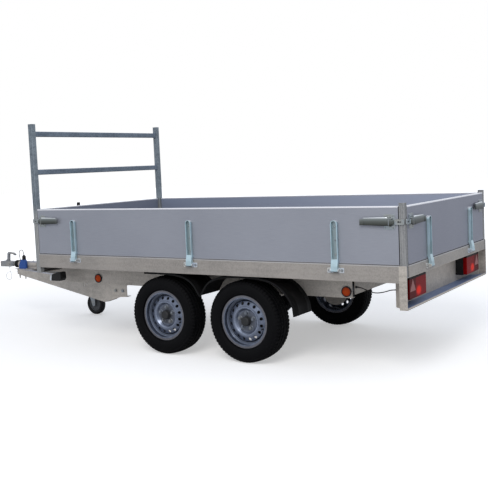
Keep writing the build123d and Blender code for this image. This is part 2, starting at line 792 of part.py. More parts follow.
def tyre(station):
    half = TYRE_WIDTH / 2
    mid = TYRE_MIDDLE
    with BuildPart() as piece:
        with BuildSketch(wheel_section(station)):
            with BuildLine():
                Polyline((mid - 62, BEAD_RADIUS), (mid + 62, BEAD_RADIUS), (mid + 62, FLANGE_RADIUS + 1))
                ThreePointArc(
                    (mid + 62, FLANGE_RADIUS + 1), (mid + half, 228), (mid + half - 18, WHEEL_RADIUS - 16)
                )
                ThreePointArc(
                    (mid + half - 18, WHEEL_RADIUS - 16),
                    (mid + half - 26, WHEEL_RADIUS - 6),
                    (mid + half - 40, WHEEL_RADIUS - 1.5),
                )
                ThreePointArc(
                    (mid + half - 40, WHEEL_RADIUS - 1.5), (mid, WHEEL_RADIUS), (mid - half + 40, WHEEL_RADIUS - 1.5)
                )
                ThreePointArc(
                    (mid - half + 40, WHEEL_RADIUS - 1.5),
                    (mid - half + 26, WHEEL_RADIUS - 6),
                    (mid - half + 18, WHEEL_RADIUS - 16),
                )
                ThreePointArc(
                    (mid - half + 18, WHEEL_RADIUS - 16),
                    (mid - half, 228),
                    (mid - 62, FLANGE_RADIUS + 1),
                )
                Line((mid - 62, FLANGE_RADIUS + 1), (mid - 62, BEAD_RADIUS))
            make_face()
        revolve(axis=wheel_axis(station))
    return piece


def rim(station):
    """Well-based rim and its pressed disc: vents in the raised ring, nut holes in the mounting face."""
    mid = TYRE_MIDDLE
    face = MOUNT_FACE
    with BuildPart() as piece:
        with BuildSketch(wheel_section(station)):
            with BuildLine():
                Polyline(
                    (mid + 66, FLANGE_RADIUS),
                    (mid + 66, BEAD_RADIUS - 3.5),
                    (mid + 34, BEAD_RADIUS - 3.5),
                    (mid + 26, WELL_RADIUS - 3.5),
                    (mid - 26, WELL_RADIUS - 3.5),
                    (mid - 34, BEAD_RADIUS - 3.5),
                    (mid - 66, BEAD_RADIUS - 3.5),
                    (mid - 66, FLANGE_RADIUS),
                    (mid - 62, FLANGE_RADIUS),
                    (mid - 62, BEAD_RADIUS),
                    (mid - 32, BEAD_RADIUS),
                    (mid - 24, WELL_RADIUS),
                    (mid + 24, WELL_RADIUS),
                    (mid + 32, BEAD_RADIUS),
                    (mid + 62, BEAD_RADIUS),
                    (mid + 62, FLANGE_RADIUS),
                    close=True,
                )
            make_face()
            with BuildLine():
                Polyline(
                    (face, 34),
                    (face, 76),
                    (face + 17, 92),
                    (face + 17, 108),
                    (face + 2, 140),
                    (face - 12, 148.5),
                    (face - 16, 148.5),
                    (face - 3, 137),
                    (face + 12, 107),
                    (face + 12, 94),
                    (face - 4, 79),
                    (face - 4, 34),
                    close=True,
                )
            make_face()
        revolve(axis=wheel_axis(station))
        with BuildSketch(wheel_face(station, face + 40)):
            with PolarLocations(VENT_CIRCLE, VENTS, start_angle=180 / VENTS):
                Circle(VENT_RADIUS)
        extrude(amount=60, mode=Mode.SUBTRACT)
        with BuildSketch(wheel_face(station, face + 40)):
            with PolarLocations(PITCH_CIRCLE, NUTS, start_angle=90):
                Circle(7)
        extrude(amount=60, mode=Mode.SUBTRACT)
    return piece


def hub_drum(station):
    """Brake drum and hub in one casting, with its studs, nuts and grease cap."""
    face = MOUNT_FACE
    with BuildPart() as piece:
        with BuildSketch(wheel_section(station)):
            with BuildLine():
                Polyline(
                    (DRUM_INNER, 100),
                    (DRUM_INNER, 116),
                    (face - 24, 116),
                    (face - 14, 80),
                    (face - 4, 76),
                    (face - 4, 33),
                    (face + 26, 31),
                    (face + 32, 24),
                    (face + 32, 0),
                    (face + 22, 0),
                    (face + 22, STUB_RADIUS + PIN_FIT),
                    (DRUM_INNER + 20, STUB_RADIUS + PIN_FIT),
                    (DRUM_INNER + 20, 30),
                    (face - 34, 34),
                    (face - 34, 100),
                    close=True,
                )
            make_face()
        revolve(axis=wheel_axis(station))
        with BuildSketch(wheel_face(station, face + 16)):
            with PolarLocations(PITCH_CIRCLE, NUTS, start_angle=90):
                Circle(6)
        extrude(amount=22)
        with BuildSketch(wheel_face(station, face + 13)):
            with PolarLocations(PITCH_CIRCLE, NUTS, start_angle=90):
                RegularPolygon(11, 6)
        extrude(amount=13)
    return piece


for axle_name, station in AXLES.items():
    for make, label in ((tyre, "tyre"), (rim, "rim"), (hub_drum, "hub")):
        left = make(station)
        pieces[f"{label}_{axle_name}_left"] = left
        pieces[f"{label}_{axle_name}_right"] = mirrored(left)

# --- Mudguards: one black moulding over both wheels of a side -----------------------------------
GUARD_INNER = 545.0
GUARD_OUTER = 775.0
GUARD_SHEET = 4.0
GUARD_CROWN = 599.0
GUARD_LIP = 10.0
GUARD_LIPS = (
    ((905, 560), (1060, GUARD_CROWN), (1330, GUARD_CROWN), (1470, 560)),
    ((1620, 560), (1760, GUARD_CROWN), (2040, GUARD_CROWN)),
)
with BuildPart() as mudguard_left:
    with BuildSketch(beside(GUARD_OUTER)):
        with BuildLine():
            Polyline(
                (790, 352),
                (800, 440),
                (905, 560),
                (1060, GUARD_CROWN),
                (1330, GUARD_CROWN),
                (1470, 560),
                (1545, 449),
                (1620, 560),
                (1760, GUARD_CROWN),
                (2040, GUARD_CROWN),
                (2040, GUARD_CROWN + GUARD_SHEET),
                (1758, GUARD_CROWN + GUARD_SHEET),
                (1615, 563),
                (1545, 456),
                (1475, 563),
                (1332, GUARD_CROWN + GUARD_SHEET),
                (1058, GUARD_CROWN + GUARD_SHEET),
                (901, 563),
                (796, 442),
                (786, 352),
                close=True,
            )
        make_face()
    extrude(amount=GUARD_OUTER - GUARD_INNER)
    with BuildSketch(beside(GUARD_OUTER)):
        for run in GUARD_LIPS:
            with BuildLine():
                inside = [(station, height - GUARD_LIP) for station, height in run]
                Polyline(*run, *reversed(inside), close=True)
            make_face()
    extrude(amount=GUARD_SHEET)
pieces["mudguards"] = paired(mudguard_left)

# --- Lamps and reflectors -----------------------------------------------------------------------
LAMP_INNER = 410.0
LAMP_OUTER = 705.0
LAMP_BOTTOM = 490.0
LAMP_TOP = 636.0
LENS_REAR = 25.0
LENS_FRONT = 50.0

with BuildPart() as tail_lamp_left:
    with BuildSketch(across(LENS_FRONT)):
        with Locations(((LAMP_INNER + LAMP_OUTER) / 2, (LAMP_BOTTOM + LAMP_TOP) / 2)):
            RectangleRounded(LAMP_OUTER - LAMP_INNER, LAMP_TOP - LAMP_BOTTOM, 8)
    extrude(amount=RECESS - LENS_FRONT)
pieces["tail_lamps"] = paired(tail_lamp_left)

with BuildPart() as tail_lens_left:
    with BuildSketch(across(LENS_REAR)):
        with Locations(((LAMP_INNER + LAMP_OUTER) / 2, (LAMP_BOTTOM + LAMP_TOP) / 2)):
            RectangleRounded(LAMP_OUTER - LAMP_INNER - 6, LAMP_TOP - LAMP_BOTTOM - 6, 10)
    extrude(amount=LENS_FRONT - LENS_REAR)
    fillet(tail_lens_left.faces().sort_by(Axis.X)[0].edges(), 5)
pieces["tail_lenses"] = paired(tail_lens_left)

with BuildPart() as marker_lamp_left:
    with BuildSketch(beside(691)) as marker_side:
        with BuildLine():
            Polyline(
                (2988, 553),
                (3024, 553),
                (3096, 532),
                (3112, 504),
                (3104, 482),
                (3000, 483),
                (2986, 503),
                close=True,
            )
        make_face()
        fillet(marker_side.vertices(), 8)
    extrude(amount=62)
    chamfer(marker_lamp_left.faces().sort_by(Axis.Y)[-1].edges(), 3)
pieces["marker_lamps"] = paired(marker_lamp_left)

with BuildPart() as side_reflectors:
    for station in (520.0, 2710.0):
        with BuildSketch(beside(MEMBER_OUT + 8)):
            with Locations((station, 497)):
                Circle(33)
        extrude(amount=8)
    mirror(about=Plane.XZ)
pieces["side_reflectors"] = side_reflectors


# --- Drop boards, their strap hinges and latches ------------------------------------------------
class Edge:
    """One edge of the bed: local axes are out from the frame's face, up, and along the board."""

    def __init__(self, face, outward, along):
        self.face = Vector(*face)
        self.outward = Vector(*outward)
        self.along = Vector(*along)

    def plane(self, position):
        """Upright plane square to the board at `position` along it; extrusions go along the board."""
        return Plane(origin=self.face + self.along * position, x_dir=self.outward, z_dir=self.along)

    def plan(self, height):
        """Level plane at `height`: axes are along the board and out; extrusions go up."""
        return Plane(origin=self.face + Vector(0, 0, height), x_dir=self.along, z_dir=(0, 0, 1))

    def front(self, out):
        """Plane over the board's face, `out` from the frame's face: axes are along the board and up."""
        return Plane(origin=self.face + self.outward * out, x_dir=self.along, z_dir=-self.outward)


left_edge = Edge((REAR, BED_HALF, 0), (0, 1, 0), (1, 0, 0))
rear_edge = Edge((REAR, 0, 0), (-1, 0, 0), (0, 1, 0))
front_edge = Edge((REAR + BED_LENGTH, 0, 0), (1, 0, 0), (0, -1, 0))

BOARD_BOTTOM = FRAME_TOP + MOVING_GAP


TOP_BEAD = 10.0
BOTTOM_LIP = 14.0
BEAD_PROUD = 1.5
BOARD_WALL = 2.2
CHAMBERS = 4
BOARD_FACE = -BOARD_INSET - BEAD_PROUD  # flat of the board, between its bead and its lip


def board(edge, start, end):
    """Hollow aluminium extrusion with a rounded top bead, a bottom lip and chambers between its faces."""
    middle = -BOARD_INSET - BOARD / 2
    flat = BOARD - 2 * BEAD_PROUD
    low, high = BOARD_BOTTOM + BOTTOM_LIP, BOARD_TOP - TOP_BEAD
    pitch = (high - low) / CHAMBERS
    with BuildPart() as piece:
        with BuildSketch(edge.plane(start)):
            with Locations((middle, (BOARD_TOP + BOARD_BOTTOM) / 2)):
                Rectangle(flat, BOARD_TOP - BOARD_BOTTOM - 4)
            with Locations((middle, BOARD_TOP - TOP_BEAD / 2)):
                RectangleRounded(BOARD, TOP_BEAD, 4)
            with Locations((middle, BOARD_BOTTOM + BOTTOM_LIP / 2)):
                RectangleRounded(BOARD, BOTTOM_LIP, 2)
            with Locations((middle, (low + high) / 2)):
                with GridLocations(0, pitch, 1, CHAMBERS):
                    Rectangle(flat - 2 * BOARD_WALL, pitch - BOARD_WALL, mode=Mode.SUBTRACT)
        extrude(amount=end - start)
    return piece


STRAP = 46.0
STRAP_TOP = 986.0
STRAP_OUT = 15.0
STRAP_BEND = 711.0  # the tray leaves the frame's face
STRAP_FOOT = 738.0  # and reaches the board's
KNUCKLE = 11.0
STRAP_RIM = 5.0
STRAP_SHEET = 3.0
EAR = 6.0


def strap(edge, position):
    """Pressed tray hinge: a round-ended tray on the board, flaring out to the knuckle on the pin."""
    half = STRAP / 2
    with BuildPart() as piece:
        with BuildSketch(edge.plane(position - half)):
            with BuildLine():
                Polyline(
                    (HINGE_OUT - KNUCKLE, HINGE_HEIGHT),
                    (5, STRAP_BEND),
                    (BOARD_FACE, STRAP_FOOT),
                    (BOARD_FACE, STRAP_TOP),
                    (STRAP_OUT, STRAP_TOP),
                    (STRAP_OUT, STRAP_FOOT + 5),
                    (25, 702),
                    (HINGE_OUT + KNUCKLE, HINGE_HEIGHT),
                )
                CenterArc((HINGE_OUT, HINGE_HEIGHT), KNUCKLE, 180, 180)
            make_face()
        extrude(amount=STRAP)
        tray = edge.front(STRAP_OUT)
        with BuildSketch(tray):
            with BuildLine():
                low, high = STRAP_FOOT + 4, STRAP_TOP - half
                inner = half - STRAP_RIM
                Line((position - inner, low), (position - inner, high))
                ThreePointArc((position - inner, high), (position, high + inner), (position + inner, high))
                Line((position + inner, high), (position + inner, low))
                Line((position + inner, low), (position - inner, low))
            make_face()
        extrude(amount=STRAP_OUT - BOARD_FACE - STRAP_SHEET, mode=Mode.SUBTRACT)
        with BuildSketch(tray.offset(-20)):
            with BuildLine():
                Line((position - half, STRAP_TOP - half), (position - half, STRAP_TOP + 1))
                Line((position - half, STRAP_TOP + 1), (position + half, STRAP_TOP + 1))
                Line((position + half, STRAP_TOP + 1), (position + half, STRAP_TOP - half))
                ThreePointArc(
                    (position + half, STRAP_TOP - half),
                    (position, STRAP_TOP),
                    (position - half, STRAP_TOP - half),
                )
            make_face()
        extrude(amount=60, mode=Mode.SUBTRACT)
        with BuildSketch(edge.plane(position - half)):
            with Locations((HINGE_OUT, HINGE_HEIGHT)):
                Circle(PIN_RADIUS + PIN_FIT)
        extrude(amount=STRAP, mode=Mode.SUBTRACT)
    return piece.part


FOOT = 28.0
FOOT_SHEET = 4.0


def bracket(edge, position):
    """Hinge bracket on the frame: two ears turned out of their feet, and the pin between them."""
    half = STRAP / 2 + 1
    with BuildPart() as piece:
        for ear_start, foot_start in (
            (position - half - EAR, position - half - EAR - FOOT),
            (position + half, position + half + EAR),
        ):
            with BuildSketch(edge.plane(ear_start)):
                with BuildLine():
                    Polyline(
                        (HINGE_OUT, HINGE_HEIGHT + KNUCKLE),
                        (0, HINGE_HEIGHT + 16),
                        (0, HINGE_HEIGHT - 16),
                        (HINGE_OUT, HINGE_HEIGHT - KNUCKLE),
                    )
                    CenterArc((HINGE_OUT, HINGE_HEIGHT), KNUCKLE, -90, 180)
                make_face()
            extrude(amount=EAR)
            with BuildSketch(edge.front(FOOT_SHEET)):
                with Locations((foot_start + FOOT / 2, HINGE_HEIGHT)):
                    RectangleRounded(FOOT, 32, 5)
                    with Locations((0, 0)):
                        Circle(4.5, mode=Mode.SUBTRACT)
            extrude(amount=FOOT_SHEET)
            with BuildSketch(edge.front(FOOT_SHEET)):
                with Locations((ear_start + EAR / 2, HINGE_HEIGHT)):
                    Rectangle(EAR + 12, 32)
            extrude(amount=FOOT_SHEET)
        with BuildSketch(edge.plane(position - half - EAR)):
            with Locations((HINGE_OUT, HINGE_HEIGHT)):
                Circle(PIN_RADIUS)
        extrude(amount=2 * (half + EAR))
    return piece.part


LATCH_Z = 976.0
LATCH_PLATE = 2.5
PLATE_CENTRE = 102.0  # from the corner, as all the latch's lengths along the board
PLATE_SIZE = (72.0, 92.0)
TONGUE_OUT = MOVING_GAP - POST_INSET
TONGUE_SHEET = 4.0
TONGUE_HALF = 17.0
LEVER_HALF = 19.0
LEVER_START = 86.0
LEVER_LENGTH = 182.0
LEVER_SHEET = 2.0


def latch(edge, corner, inward):
    """Over-centre latch: base plate, two cheeks, a channel lever and a joggled tongue over the post."""

    def spot(near, out):
        return (corner + inward * near, out)

    with BuildPart() as piece:
        with BuildSketch(edge.front(BOARD_FACE + LATCH_PLATE)):
            with Locations((corner + inward * PLATE_CENTRE, LATCH_Z)):
                RectangleRounded(*PLATE_SIZE, 8)
        extrude(amount=LATCH_PLATE)
        with BuildSketch(edge.front(TONGUE_OUT + TONGUE_SHEET)):
            with Locations((corner + inward * 36, LATCH_Z)):
                RectangleRounded(60, 2 * TONGUE_HALF, 8)
                SlotOverall(26, 9, mode=Mode.SUBTRACT)
        extrude(amount=TONGUE_SHEET)
        with BuildSketch(edge.plan(LATCH_Z - TONGUE_HALF + 3)):
            with BuildLine():
                Polyline(
                    spot(62, TONGUE_OUT),
                    spot(62, TONGUE_OUT + TONGUE_SHEET),
                    spot(72, 15),
                    spot(90, 15),
                    spot(90, BOARD_FACE + LATCH_PLATE),
                    spot(70, BOARD_FACE + LATCH_PLATE),
                    close=True,
                )
            make_face()
        extrude(amount=2 * TONGUE_HALF - 6)
        for cheek_z in (LATCH_Z - LEVER_HALF - 3, LATCH_Z + LEVER_HALF):
            with BuildSketch(edge.plan(cheek_z)):
                with BuildLine():
                    Polyline(
                        spot(76, BOARD_FACE + LATCH_PLATE),
                        spot(82, 14),
                        spot(92, 19),
                        spot(108, 19),
                        spot(128, BOARD_FACE + LATCH_PLATE),
                        close=True,
                    )
                make_face()
            extrude(amount=3)
        lever_start = min(corner + inward * LEVER_START, corner + inward * (LEVER_START + LEVER_LENGTH))
        with BuildSketch(edge.plane(lever_start)):
            with Locations((9.5, LATCH_Z)):
                Rectangle(11, 2 * LEVER_HALF)
            with Locations((9.5 - LEVER_SHEET, LATCH_Z)):
                Rectangle(11, 2 * (LEVER_HALF - LEVER_SHEET), mode=Mode.SUBTRACT)
        extrude(amount=LEVER_LENGTH)
        with BuildSketch(edge.plan(LATCH_Z - LEVER_HALF)):
            with BuildLine():
                Polyline(
                    spot(LEVER_START + LEVER_LENGTH - 2, 13),
                    spot(LEVER_START + LEVER_LENGTH - 2, 15),
                    spot(LEVER_START + LEVER_LENGTH + 18, 21),
                    spot(LEVER_START + LEVER_LENGTH + 19, 19),
                    spot(LEVER_START + LEVER_LENGTH + 2, 13),
                    close=True,
                )
            make_face()
        extrude(amount=2 * LEVER_HALF)
    return piece.part


SIDE_STRAPS = (465.0, 1590.0, 2700.0)
END_STRAPS = (-420.0, 420.0)
side_start = POST_INSET + REAR_POST[0] + MOVING_GAP
side_end = FRONT_POST - MOVING_GAP
END_HALVES = {"tailgate": REAR_INSIDE - MOVING_GAP, "headboard": FRONT_INSIDE - MOVING_GAP}

side_board = board(left_edge, side_start, side_end)
side_hinge_parts = [strap(left_edge, position) for position in SIDE_STRAPS]
side_latch_parts = [latch(left_edge, 0, 1), latch(left_edge, BED_LENGTH, -1)]
with BuildPart() as side_straps:
    add(side_hinge_parts)
with BuildPart() as side_latches:
    add(side_latch_parts)
for label, piece in (("board", side_board), ("straps", side_straps), ("latches", side_latches)):
    pieces[f"left_side_{label}"] = piece
    pieces[f"right_side_{label}"] = mirrored(piece)

bracket_parts = [bracket(left_edge, position) for position in SIDE_STRAPS]
end_bracket_parts = []
for end_name, edge in (("tailgate", rear_edge), ("headboard", front_edge)):
    strap_parts = [strap(edge, position) for position in END_STRAPS]
    latch_parts = [latch(edge, -BED_HALF, 1), latch(edge, BED_HALF, -1)]
    end_bracket_parts += [bracket(edge, position) for position in END_STRAPS]
    with BuildPart() as end_straps:
        add(strap_parts)
    with BuildPart() as end_latches:
        add(latch_parts)
    pieces[end_name] = board(edge, -END_HALVES[end_name], END_HALVES[end_name])
    pieces[f"{end_name}_straps"] = end_straps
    pieces[f"{end_name}_latches"] = end_latches

with BuildPart() as hinge_brackets:
    add(bracket_parts)
    mirror(about=Plane.XZ)
    add(end_bracket_parts)
pieces["hinge_brackets"] = hinge_brackets

# --- Jack: clamped to the right leg, its wheel down on the floor --------------------------------
JACK_STATION = 3600.0
JACK_Y = -300.0
JACK_OUTER = 24.0
JACK_INNER = 20.0
JACK_WHEEL = 100.0
JACK_WHEEL_WIDTH = 55.0
JACK_TRAIL = 38.0
JACK_TUBE_BOTTOM = 385.0
JACK_TUBE_TOP = 950.0

with BuildPart() as jack_tube:
    with BuildSketch(above(JACK_TUBE_BOTTOM)):
        with Locations((JACK_STATION, JACK_Y)):
            Circle(JACK_OUTER)
            Circle(JACK_INNER + PIN_FIT, mode=Mode.SUBTRACT)
    extrude(amount=JACK_TUBE_TOP - JACK_TUBE_BOTTOM)
    with BuildSketch(above(JACK_TUBE_TOP)):
        with Locations((JACK_STATION, JACK_Y)):
            Circle(JACK_OUTER)
    extrude(amount=14)
pieces["jack_tube"] = jack_tube

with BuildPart() as jack_crank:
    with BuildSketch(above(JACK_TUBE_TOP + 14)):
        with Locations((JACK_STATION, JACK_Y)):
            Circle(8)
    extrude(amount=18)
    with BuildSketch(above(JACK_TUBE_TOP + 32)):
        with Locations((JACK_STATION + 60, JACK_Y)):
            SlotCenterToCenter(120, 20)
    extrude(amount=6)
    with BuildSketch(above(JACK_TUBE_TOP + 38)):
        with Locations((JACK_STATION + 120, JACK_Y)):
            Circle(16)
    extrude(amount=78)
pieces["jack_crank"] = jack_crank

CLAMP_BOTTOM = 400.0
CLAMP_HEIGHT = 40.0
CLAMP_HALF = 26.0


def leg_face(station):
    """Y of the right leg's outer face at `station`."""
    return -MEMBER_OUT + (station - LEG_BEND) * (MEMBER_OUT - LEG_NOSE_HALF) / (LEG_FRONT - LEG_BEND)


with BuildPart() as jack_clamp:
    with BuildSketch(above(CLAMP_BOTTOM)):
        rear_edge_x = JACK_STATION - CLAMP_HALF
        front_edge_x = JACK_STATION + CLAMP_HALF
        with BuildLine():
            Polyline(
                (rear_edge_x, JACK_Y),
                (rear_edge_x, leg_face(rear_edge_x)),
                (front_edge_x, leg_face(front_edge_x)),
                (front_edge_x, JACK_Y),
                close=True,
            )
        make_face()
        with Locations((JACK_STATION, JACK_Y)):
            Circle(JACK_OUTER + 6)
            Circle(JACK_OUTER, mode=Mode.SUBTRACT)
    extrude(amount=CLAMP_HEIGHT)
pieces["jack_clamp"] = jack_clamp

SWIVEL_RADIUS = 9.0
SWIVEL_HEIGHT = 40.0
leg_bottom = 2 * JACK_WHEEL + 22
fork_top = leg_bottom - 0.3

with BuildPart() as jack_leg:
    with BuildSketch(above(leg_bottom)):
        with Locations((JACK_STATION, JACK_Y)):
            Circle(JACK_INNER)
    extrude(amount=420)
    with BuildSketch(above(leg_bottom)):
        with Locations((JACK_STATION, JACK_Y)):
            Circle(SWIVEL_RADIUS + PIN_FIT)
    extrude(amount=SWIVEL_HEIGHT, mode=Mode.SUBTRACT)
pieces["jack_leg"] = jack_leg

with BuildPart() as jack_fork:
    with BuildSketch(above(fork_top - 8)):
        with Locations((JACK_STATION - JACK_TRAIL / 2, JACK_Y)):
            SlotOverall(JACK_TRAIL + 50, 50 + 30)
    extrude(amount=8)
    with BuildSketch(above(fork_top)):
        with Locations((JACK_STATION, JACK_Y)):
            Circle(SWIVEL_RADIUS)
    extrude(amount=SWIVEL_HEIGHT - 4)
    for side in (1, -1):
        with BuildSketch(beside(JACK_Y + side * 36 + 2.5)):
            with BuildLine():
                Polyline(
                    (JACK_STATION - JACK_TRAIL - 18, JACK_WHEEL),
                    (JACK_STATION - JACK_TRAIL + 18, JACK_WHEEL),
                    (JACK_STATION + 22, fork_top - 8),
                    (JACK_STATION - JACK_TRAIL - 20, fork_top - 8),
                    close=True,
                )
            make_face()
            with Locations((JACK_STATION - JACK_TRAIL, JACK_WHEEL)):
                Circle(18)
        extrude(amount=5)
    with BuildSketch(beside(JACK_Y + 40)):
        with Locations((JACK_STATION - JACK_TRAIL, JACK_WHEEL)):
            Circle(PIN_RADIUS)
    extrude(amount=80)
pieces["jack_fork"] = jack_fork

with BuildPart() as jack_wheel:
    with BuildSketch(beside(JACK_Y + JACK_WHEEL_WIDTH / 2)):
        with Locations((JACK_STATION - JACK_TRAIL, JACK_WHEEL)):
            Circle(JACK_WHEEL)
            Circle(PIN_RADIUS + PIN_FIT, mode=Mode.SUBTRACT)
    extrude(amount=JACK_WHEEL_WIDTH)
pieces["jack_wheel"] = jack_wheel

# --- Files --------------------------------------------------------------------------------------
for name, piece in pieces.items():
    piece.part.label = name
    export_step(piece.part, f"parts/{name}.step")
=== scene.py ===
# %% [markdown]
# # A flatbed trailer on its jack
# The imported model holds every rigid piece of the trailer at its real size. This lesson adds what
# the eye looks for: the finishes of galvanised steel, anodised boards and black rubber, and the
# small pieces that are too fine for the construction, such as tyre tread, bolts, rivets and
# welds. Everything is in metres: +X points forward along the drawbar, +Y to the trailer's left,
# +Z up.

# %% Load the frame
import math

import bpy
import numpy as np
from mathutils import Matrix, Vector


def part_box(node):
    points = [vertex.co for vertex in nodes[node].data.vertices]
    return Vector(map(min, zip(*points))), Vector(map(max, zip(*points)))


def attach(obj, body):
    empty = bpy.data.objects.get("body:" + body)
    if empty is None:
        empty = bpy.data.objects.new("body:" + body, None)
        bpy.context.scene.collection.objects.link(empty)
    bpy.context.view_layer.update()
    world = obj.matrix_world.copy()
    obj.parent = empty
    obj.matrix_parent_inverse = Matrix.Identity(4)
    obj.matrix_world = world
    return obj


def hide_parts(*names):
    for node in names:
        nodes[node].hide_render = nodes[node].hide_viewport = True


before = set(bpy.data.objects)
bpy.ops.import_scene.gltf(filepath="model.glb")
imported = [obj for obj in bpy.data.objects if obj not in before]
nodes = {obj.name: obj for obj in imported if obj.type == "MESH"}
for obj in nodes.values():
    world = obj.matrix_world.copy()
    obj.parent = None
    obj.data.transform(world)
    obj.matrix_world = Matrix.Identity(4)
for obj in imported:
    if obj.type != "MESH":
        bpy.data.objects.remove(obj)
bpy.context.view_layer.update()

# %% [markdown]
# ## The camera
# A trailer is usually shown from behind its left corner, from a little above the boards, so that
# the side, the tailgate and the drawbar all show. The camera could be aimed with a Track To
# constraint, but a constraint is awkward to turn by a known roll. Here its three axes are worked
# out as vectors and written into its matrix by `aimed`, which later aims the lamps too.

# %% Place the camera
bed_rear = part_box("end_beams")[0].x
camera_spot = (bed_rear - 1.775, 5.262, 1.350)
heading, dip, roll = -0.9977, -0.0776, -0.0431  # in radians


def unit(vector):
    return np.array(vector, float) / np.linalg.norm(vector)


def aimed(made, across, over, back, spot):
    """Links a camera or lamp whose own X, Y and Z axes are `across`, `over` and `back`."""
    matrix = np.eye(4)
    matrix[:3] = np.stack([across, over, back, spot], 1)
    made.matrix_world = [list(row) for row in matrix.T]
    bpy.context.scene.collection.objects.link(made)


flat = math.cos(dip)
forward = np.array([math.cos(heading) * flat, math.sin(heading) * flat, math.sin(dip)])
level = unit(np.cross(forward, (0, 0, 1)))
upright = np.cross(level, forward)
right = math.cos(roll) * level + math.sin(roll) * upright
over = math.cos(roll) * upright - math.sin(roll) * level

camera_data = bpy.data.cameras.new("camera")
camera_data.sensor_width = 36
camera_data.lens = 59.27
camera_data.shift_x = -0.0076
camera_data.shift_y = -0.0337
camera = bpy.data.objects.new("camera", camera_data)
aimed(camera, right, over, -forward, camera_spot)
bpy.context.scene.camera = camera
print("camera looks along", forward.round(3))

# %% [markdown]
# ## Shader maths
# Patterns are arithmetic: a stain is noise minus a threshold, a gradient is height times a slope.
# Math nodes could be placed and linked one by one, but a formula is easier to read as a formula.
# `Wire` wraps one output socket and turns Python's operators into Math nodes.

# %% Wires
def tint(red, green, blue):
    """Linear colour of an sRGB colour given in 0 to 255: the inverse of the display curve."""
    share = np.array([red, green, blue]) / 255
    linear = np.where(share <= 0.04045, share / 12.92, ((share + 0.055) / 1.055) ** 2.4)
    return (*linear.tolist(), 1.0)


class Wire:
    """One output socket, so that arithmetic on it adds Math nodes."""

    def __init__(self, paint, socket):
        self.paint, self.socket = paint, socket

    def math(self, operation, first, second=0.0):
        return self.paint.node("ShaderNodeMath", {"operation": operation}, {0: first, 1: second})

    def __add__(self, other):
        return self.math("ADD", self, other)

    def __sub__(self, other):
        return self.math("SUBTRACT", self, other)

    def __rsub__(self, other):
        return self.math("SUBTRACT", other, self)

    def __mul__(self, other):
        return self.math("MULTIPLY", self, other)

    def __truediv__(self, other):
        return self.math("DIVIDE", self, other)

    def __gt__(self, other):
        return self.math("GREATER_THAN", self, other)

    def of(self, operation, other=0.0):
        """Any other Math operation, such as ABSOLUTE or FRACT."""
        return self.math(operation, self, other)

    __radd__, __rmul__ = __add__, __mul__


print("mid grey is", round(tint(128, 128, 128)[0], 3), "in linear light")

# %% [markdown]
# ## Paint boxes
# Each finish is a material, which is a tree of nodes that ends in a Principled shader. `Paint`
# owns one such tree. Its `node` method makes any node from its type, settings and sockets; the
# other methods are the few mixtures that nearly every finish needs, and the places they are read
# from.

# %% Paint boxes
class Paint:
    """A material with one Principled shader, filled in by `node` calls."""

    def __init__(self, name):
        self.material = bpy.data.materials.new(name)
        self.material.use_nodes = True
        self.tree = self.material.node_tree
        self.shader = self.tree.nodes["Principled BSDF"]
        self.place = self.node("ShaderNodeTexCoord", output="Object")
        self.x, self.y, self.z = self.split(self.place)
        self.up = self.split(self.node("ShaderNodeTexCoord", output="Normal"))[2]

    def node(self, kind, settings=None, values=None, output=0):
        """Adds a node: its settings, then the values or wires of its sockets. Returns an output."""
        made = self.tree.nodes.new(kind)
        for key, value in (settings or {}).items():
            if key == "stops":
                self.set_stops(made.color_ramp, value)
            else:
                setattr(made, key, value)
        for key, value in (values or {}).items():
            if isinstance(value, Wire):
                self.tree.links.new(value.socket, made.inputs[key])
            else:
                made.inputs[key].default_value = value
        if output == "all":
            return [Wire(self, socket) for socket in made.outputs]
        return Wire(self, made.outputs[output])

    def split(self, vector):
        return self.node("ShaderNodeSeparateXYZ", values={0: vector}, output="all")

    @staticmethod
    def set_stops(ramp, stops):
        while len(ramp.elements) < len(stops):
            ramp.elements.new(1.0)
        for element, (position, colour) in zip(ramp.elements, stops):
            element.position, element.color = position, colour

    def noise(self, scale, detail=3.0, stretch=(1, 1, 1), roughness=0.5):
        """Noise of about `scale` waves a metre, squeezed by `stretch` along X, Y and Z."""
        spot = self.node("ShaderNodeMapping", values={"Vector": self.place, "Scale": stretch})
        return self.node("ShaderNodeTexNoise", values={
            "Vector": spot, "Scale": scale, "Detail": detail, "Roughness": roughness})

    def cells(self, scale):
        """A random grey for each Voronoi cell, `scale` cells to a metre."""
        colour = self.node("ShaderNodeTexVoronoi", values={"Vector": self.place, "Scale": scale},
                           output="Color")
        return self.node("ShaderNodeRGBToBW", values={0: colour})

    def blend(self, share, first, second):
        """Colour mix: `first` where share is 0, `second` where it is 1."""
        return self.node("ShaderNodeMix", {"data_type": "RGBA"}, {0: share, 6: first, 7: second}, 2)

    def between(self, wire, low, high):
        """0 where wire is below low, 1 above high, smooth between."""
        return self.node("ShaderNodeMapRange", {"interpolation_type": "SMOOTHSTEP"}, {
            "Value": wire, "From Min": low, "From Max": high})

    def bounded(self, wire, rise, fall):
        """1 in a band of `wire` that fades in over `rise` and out over `fall`."""
        return self.between(wire, *rise) * (1 - self.between(wire, *fall))

    def bump(self, height, strength, distance):
        return self.node("ShaderNodeBump", values={
            "Height": height, "Strength": strength, "Distance": distance})

    def set(self, **sockets):
        """Sets sockets of the Principled shader; underscores in names stand for spaces."""
        for key, value in sockets.items():
            socket = self.shader.inputs[key.replace("_", " ")]
            if isinstance(value, Wire):
                self.tree.links.new(value.socket, socket)
            else:
                socket.default_value = value
        return self.material


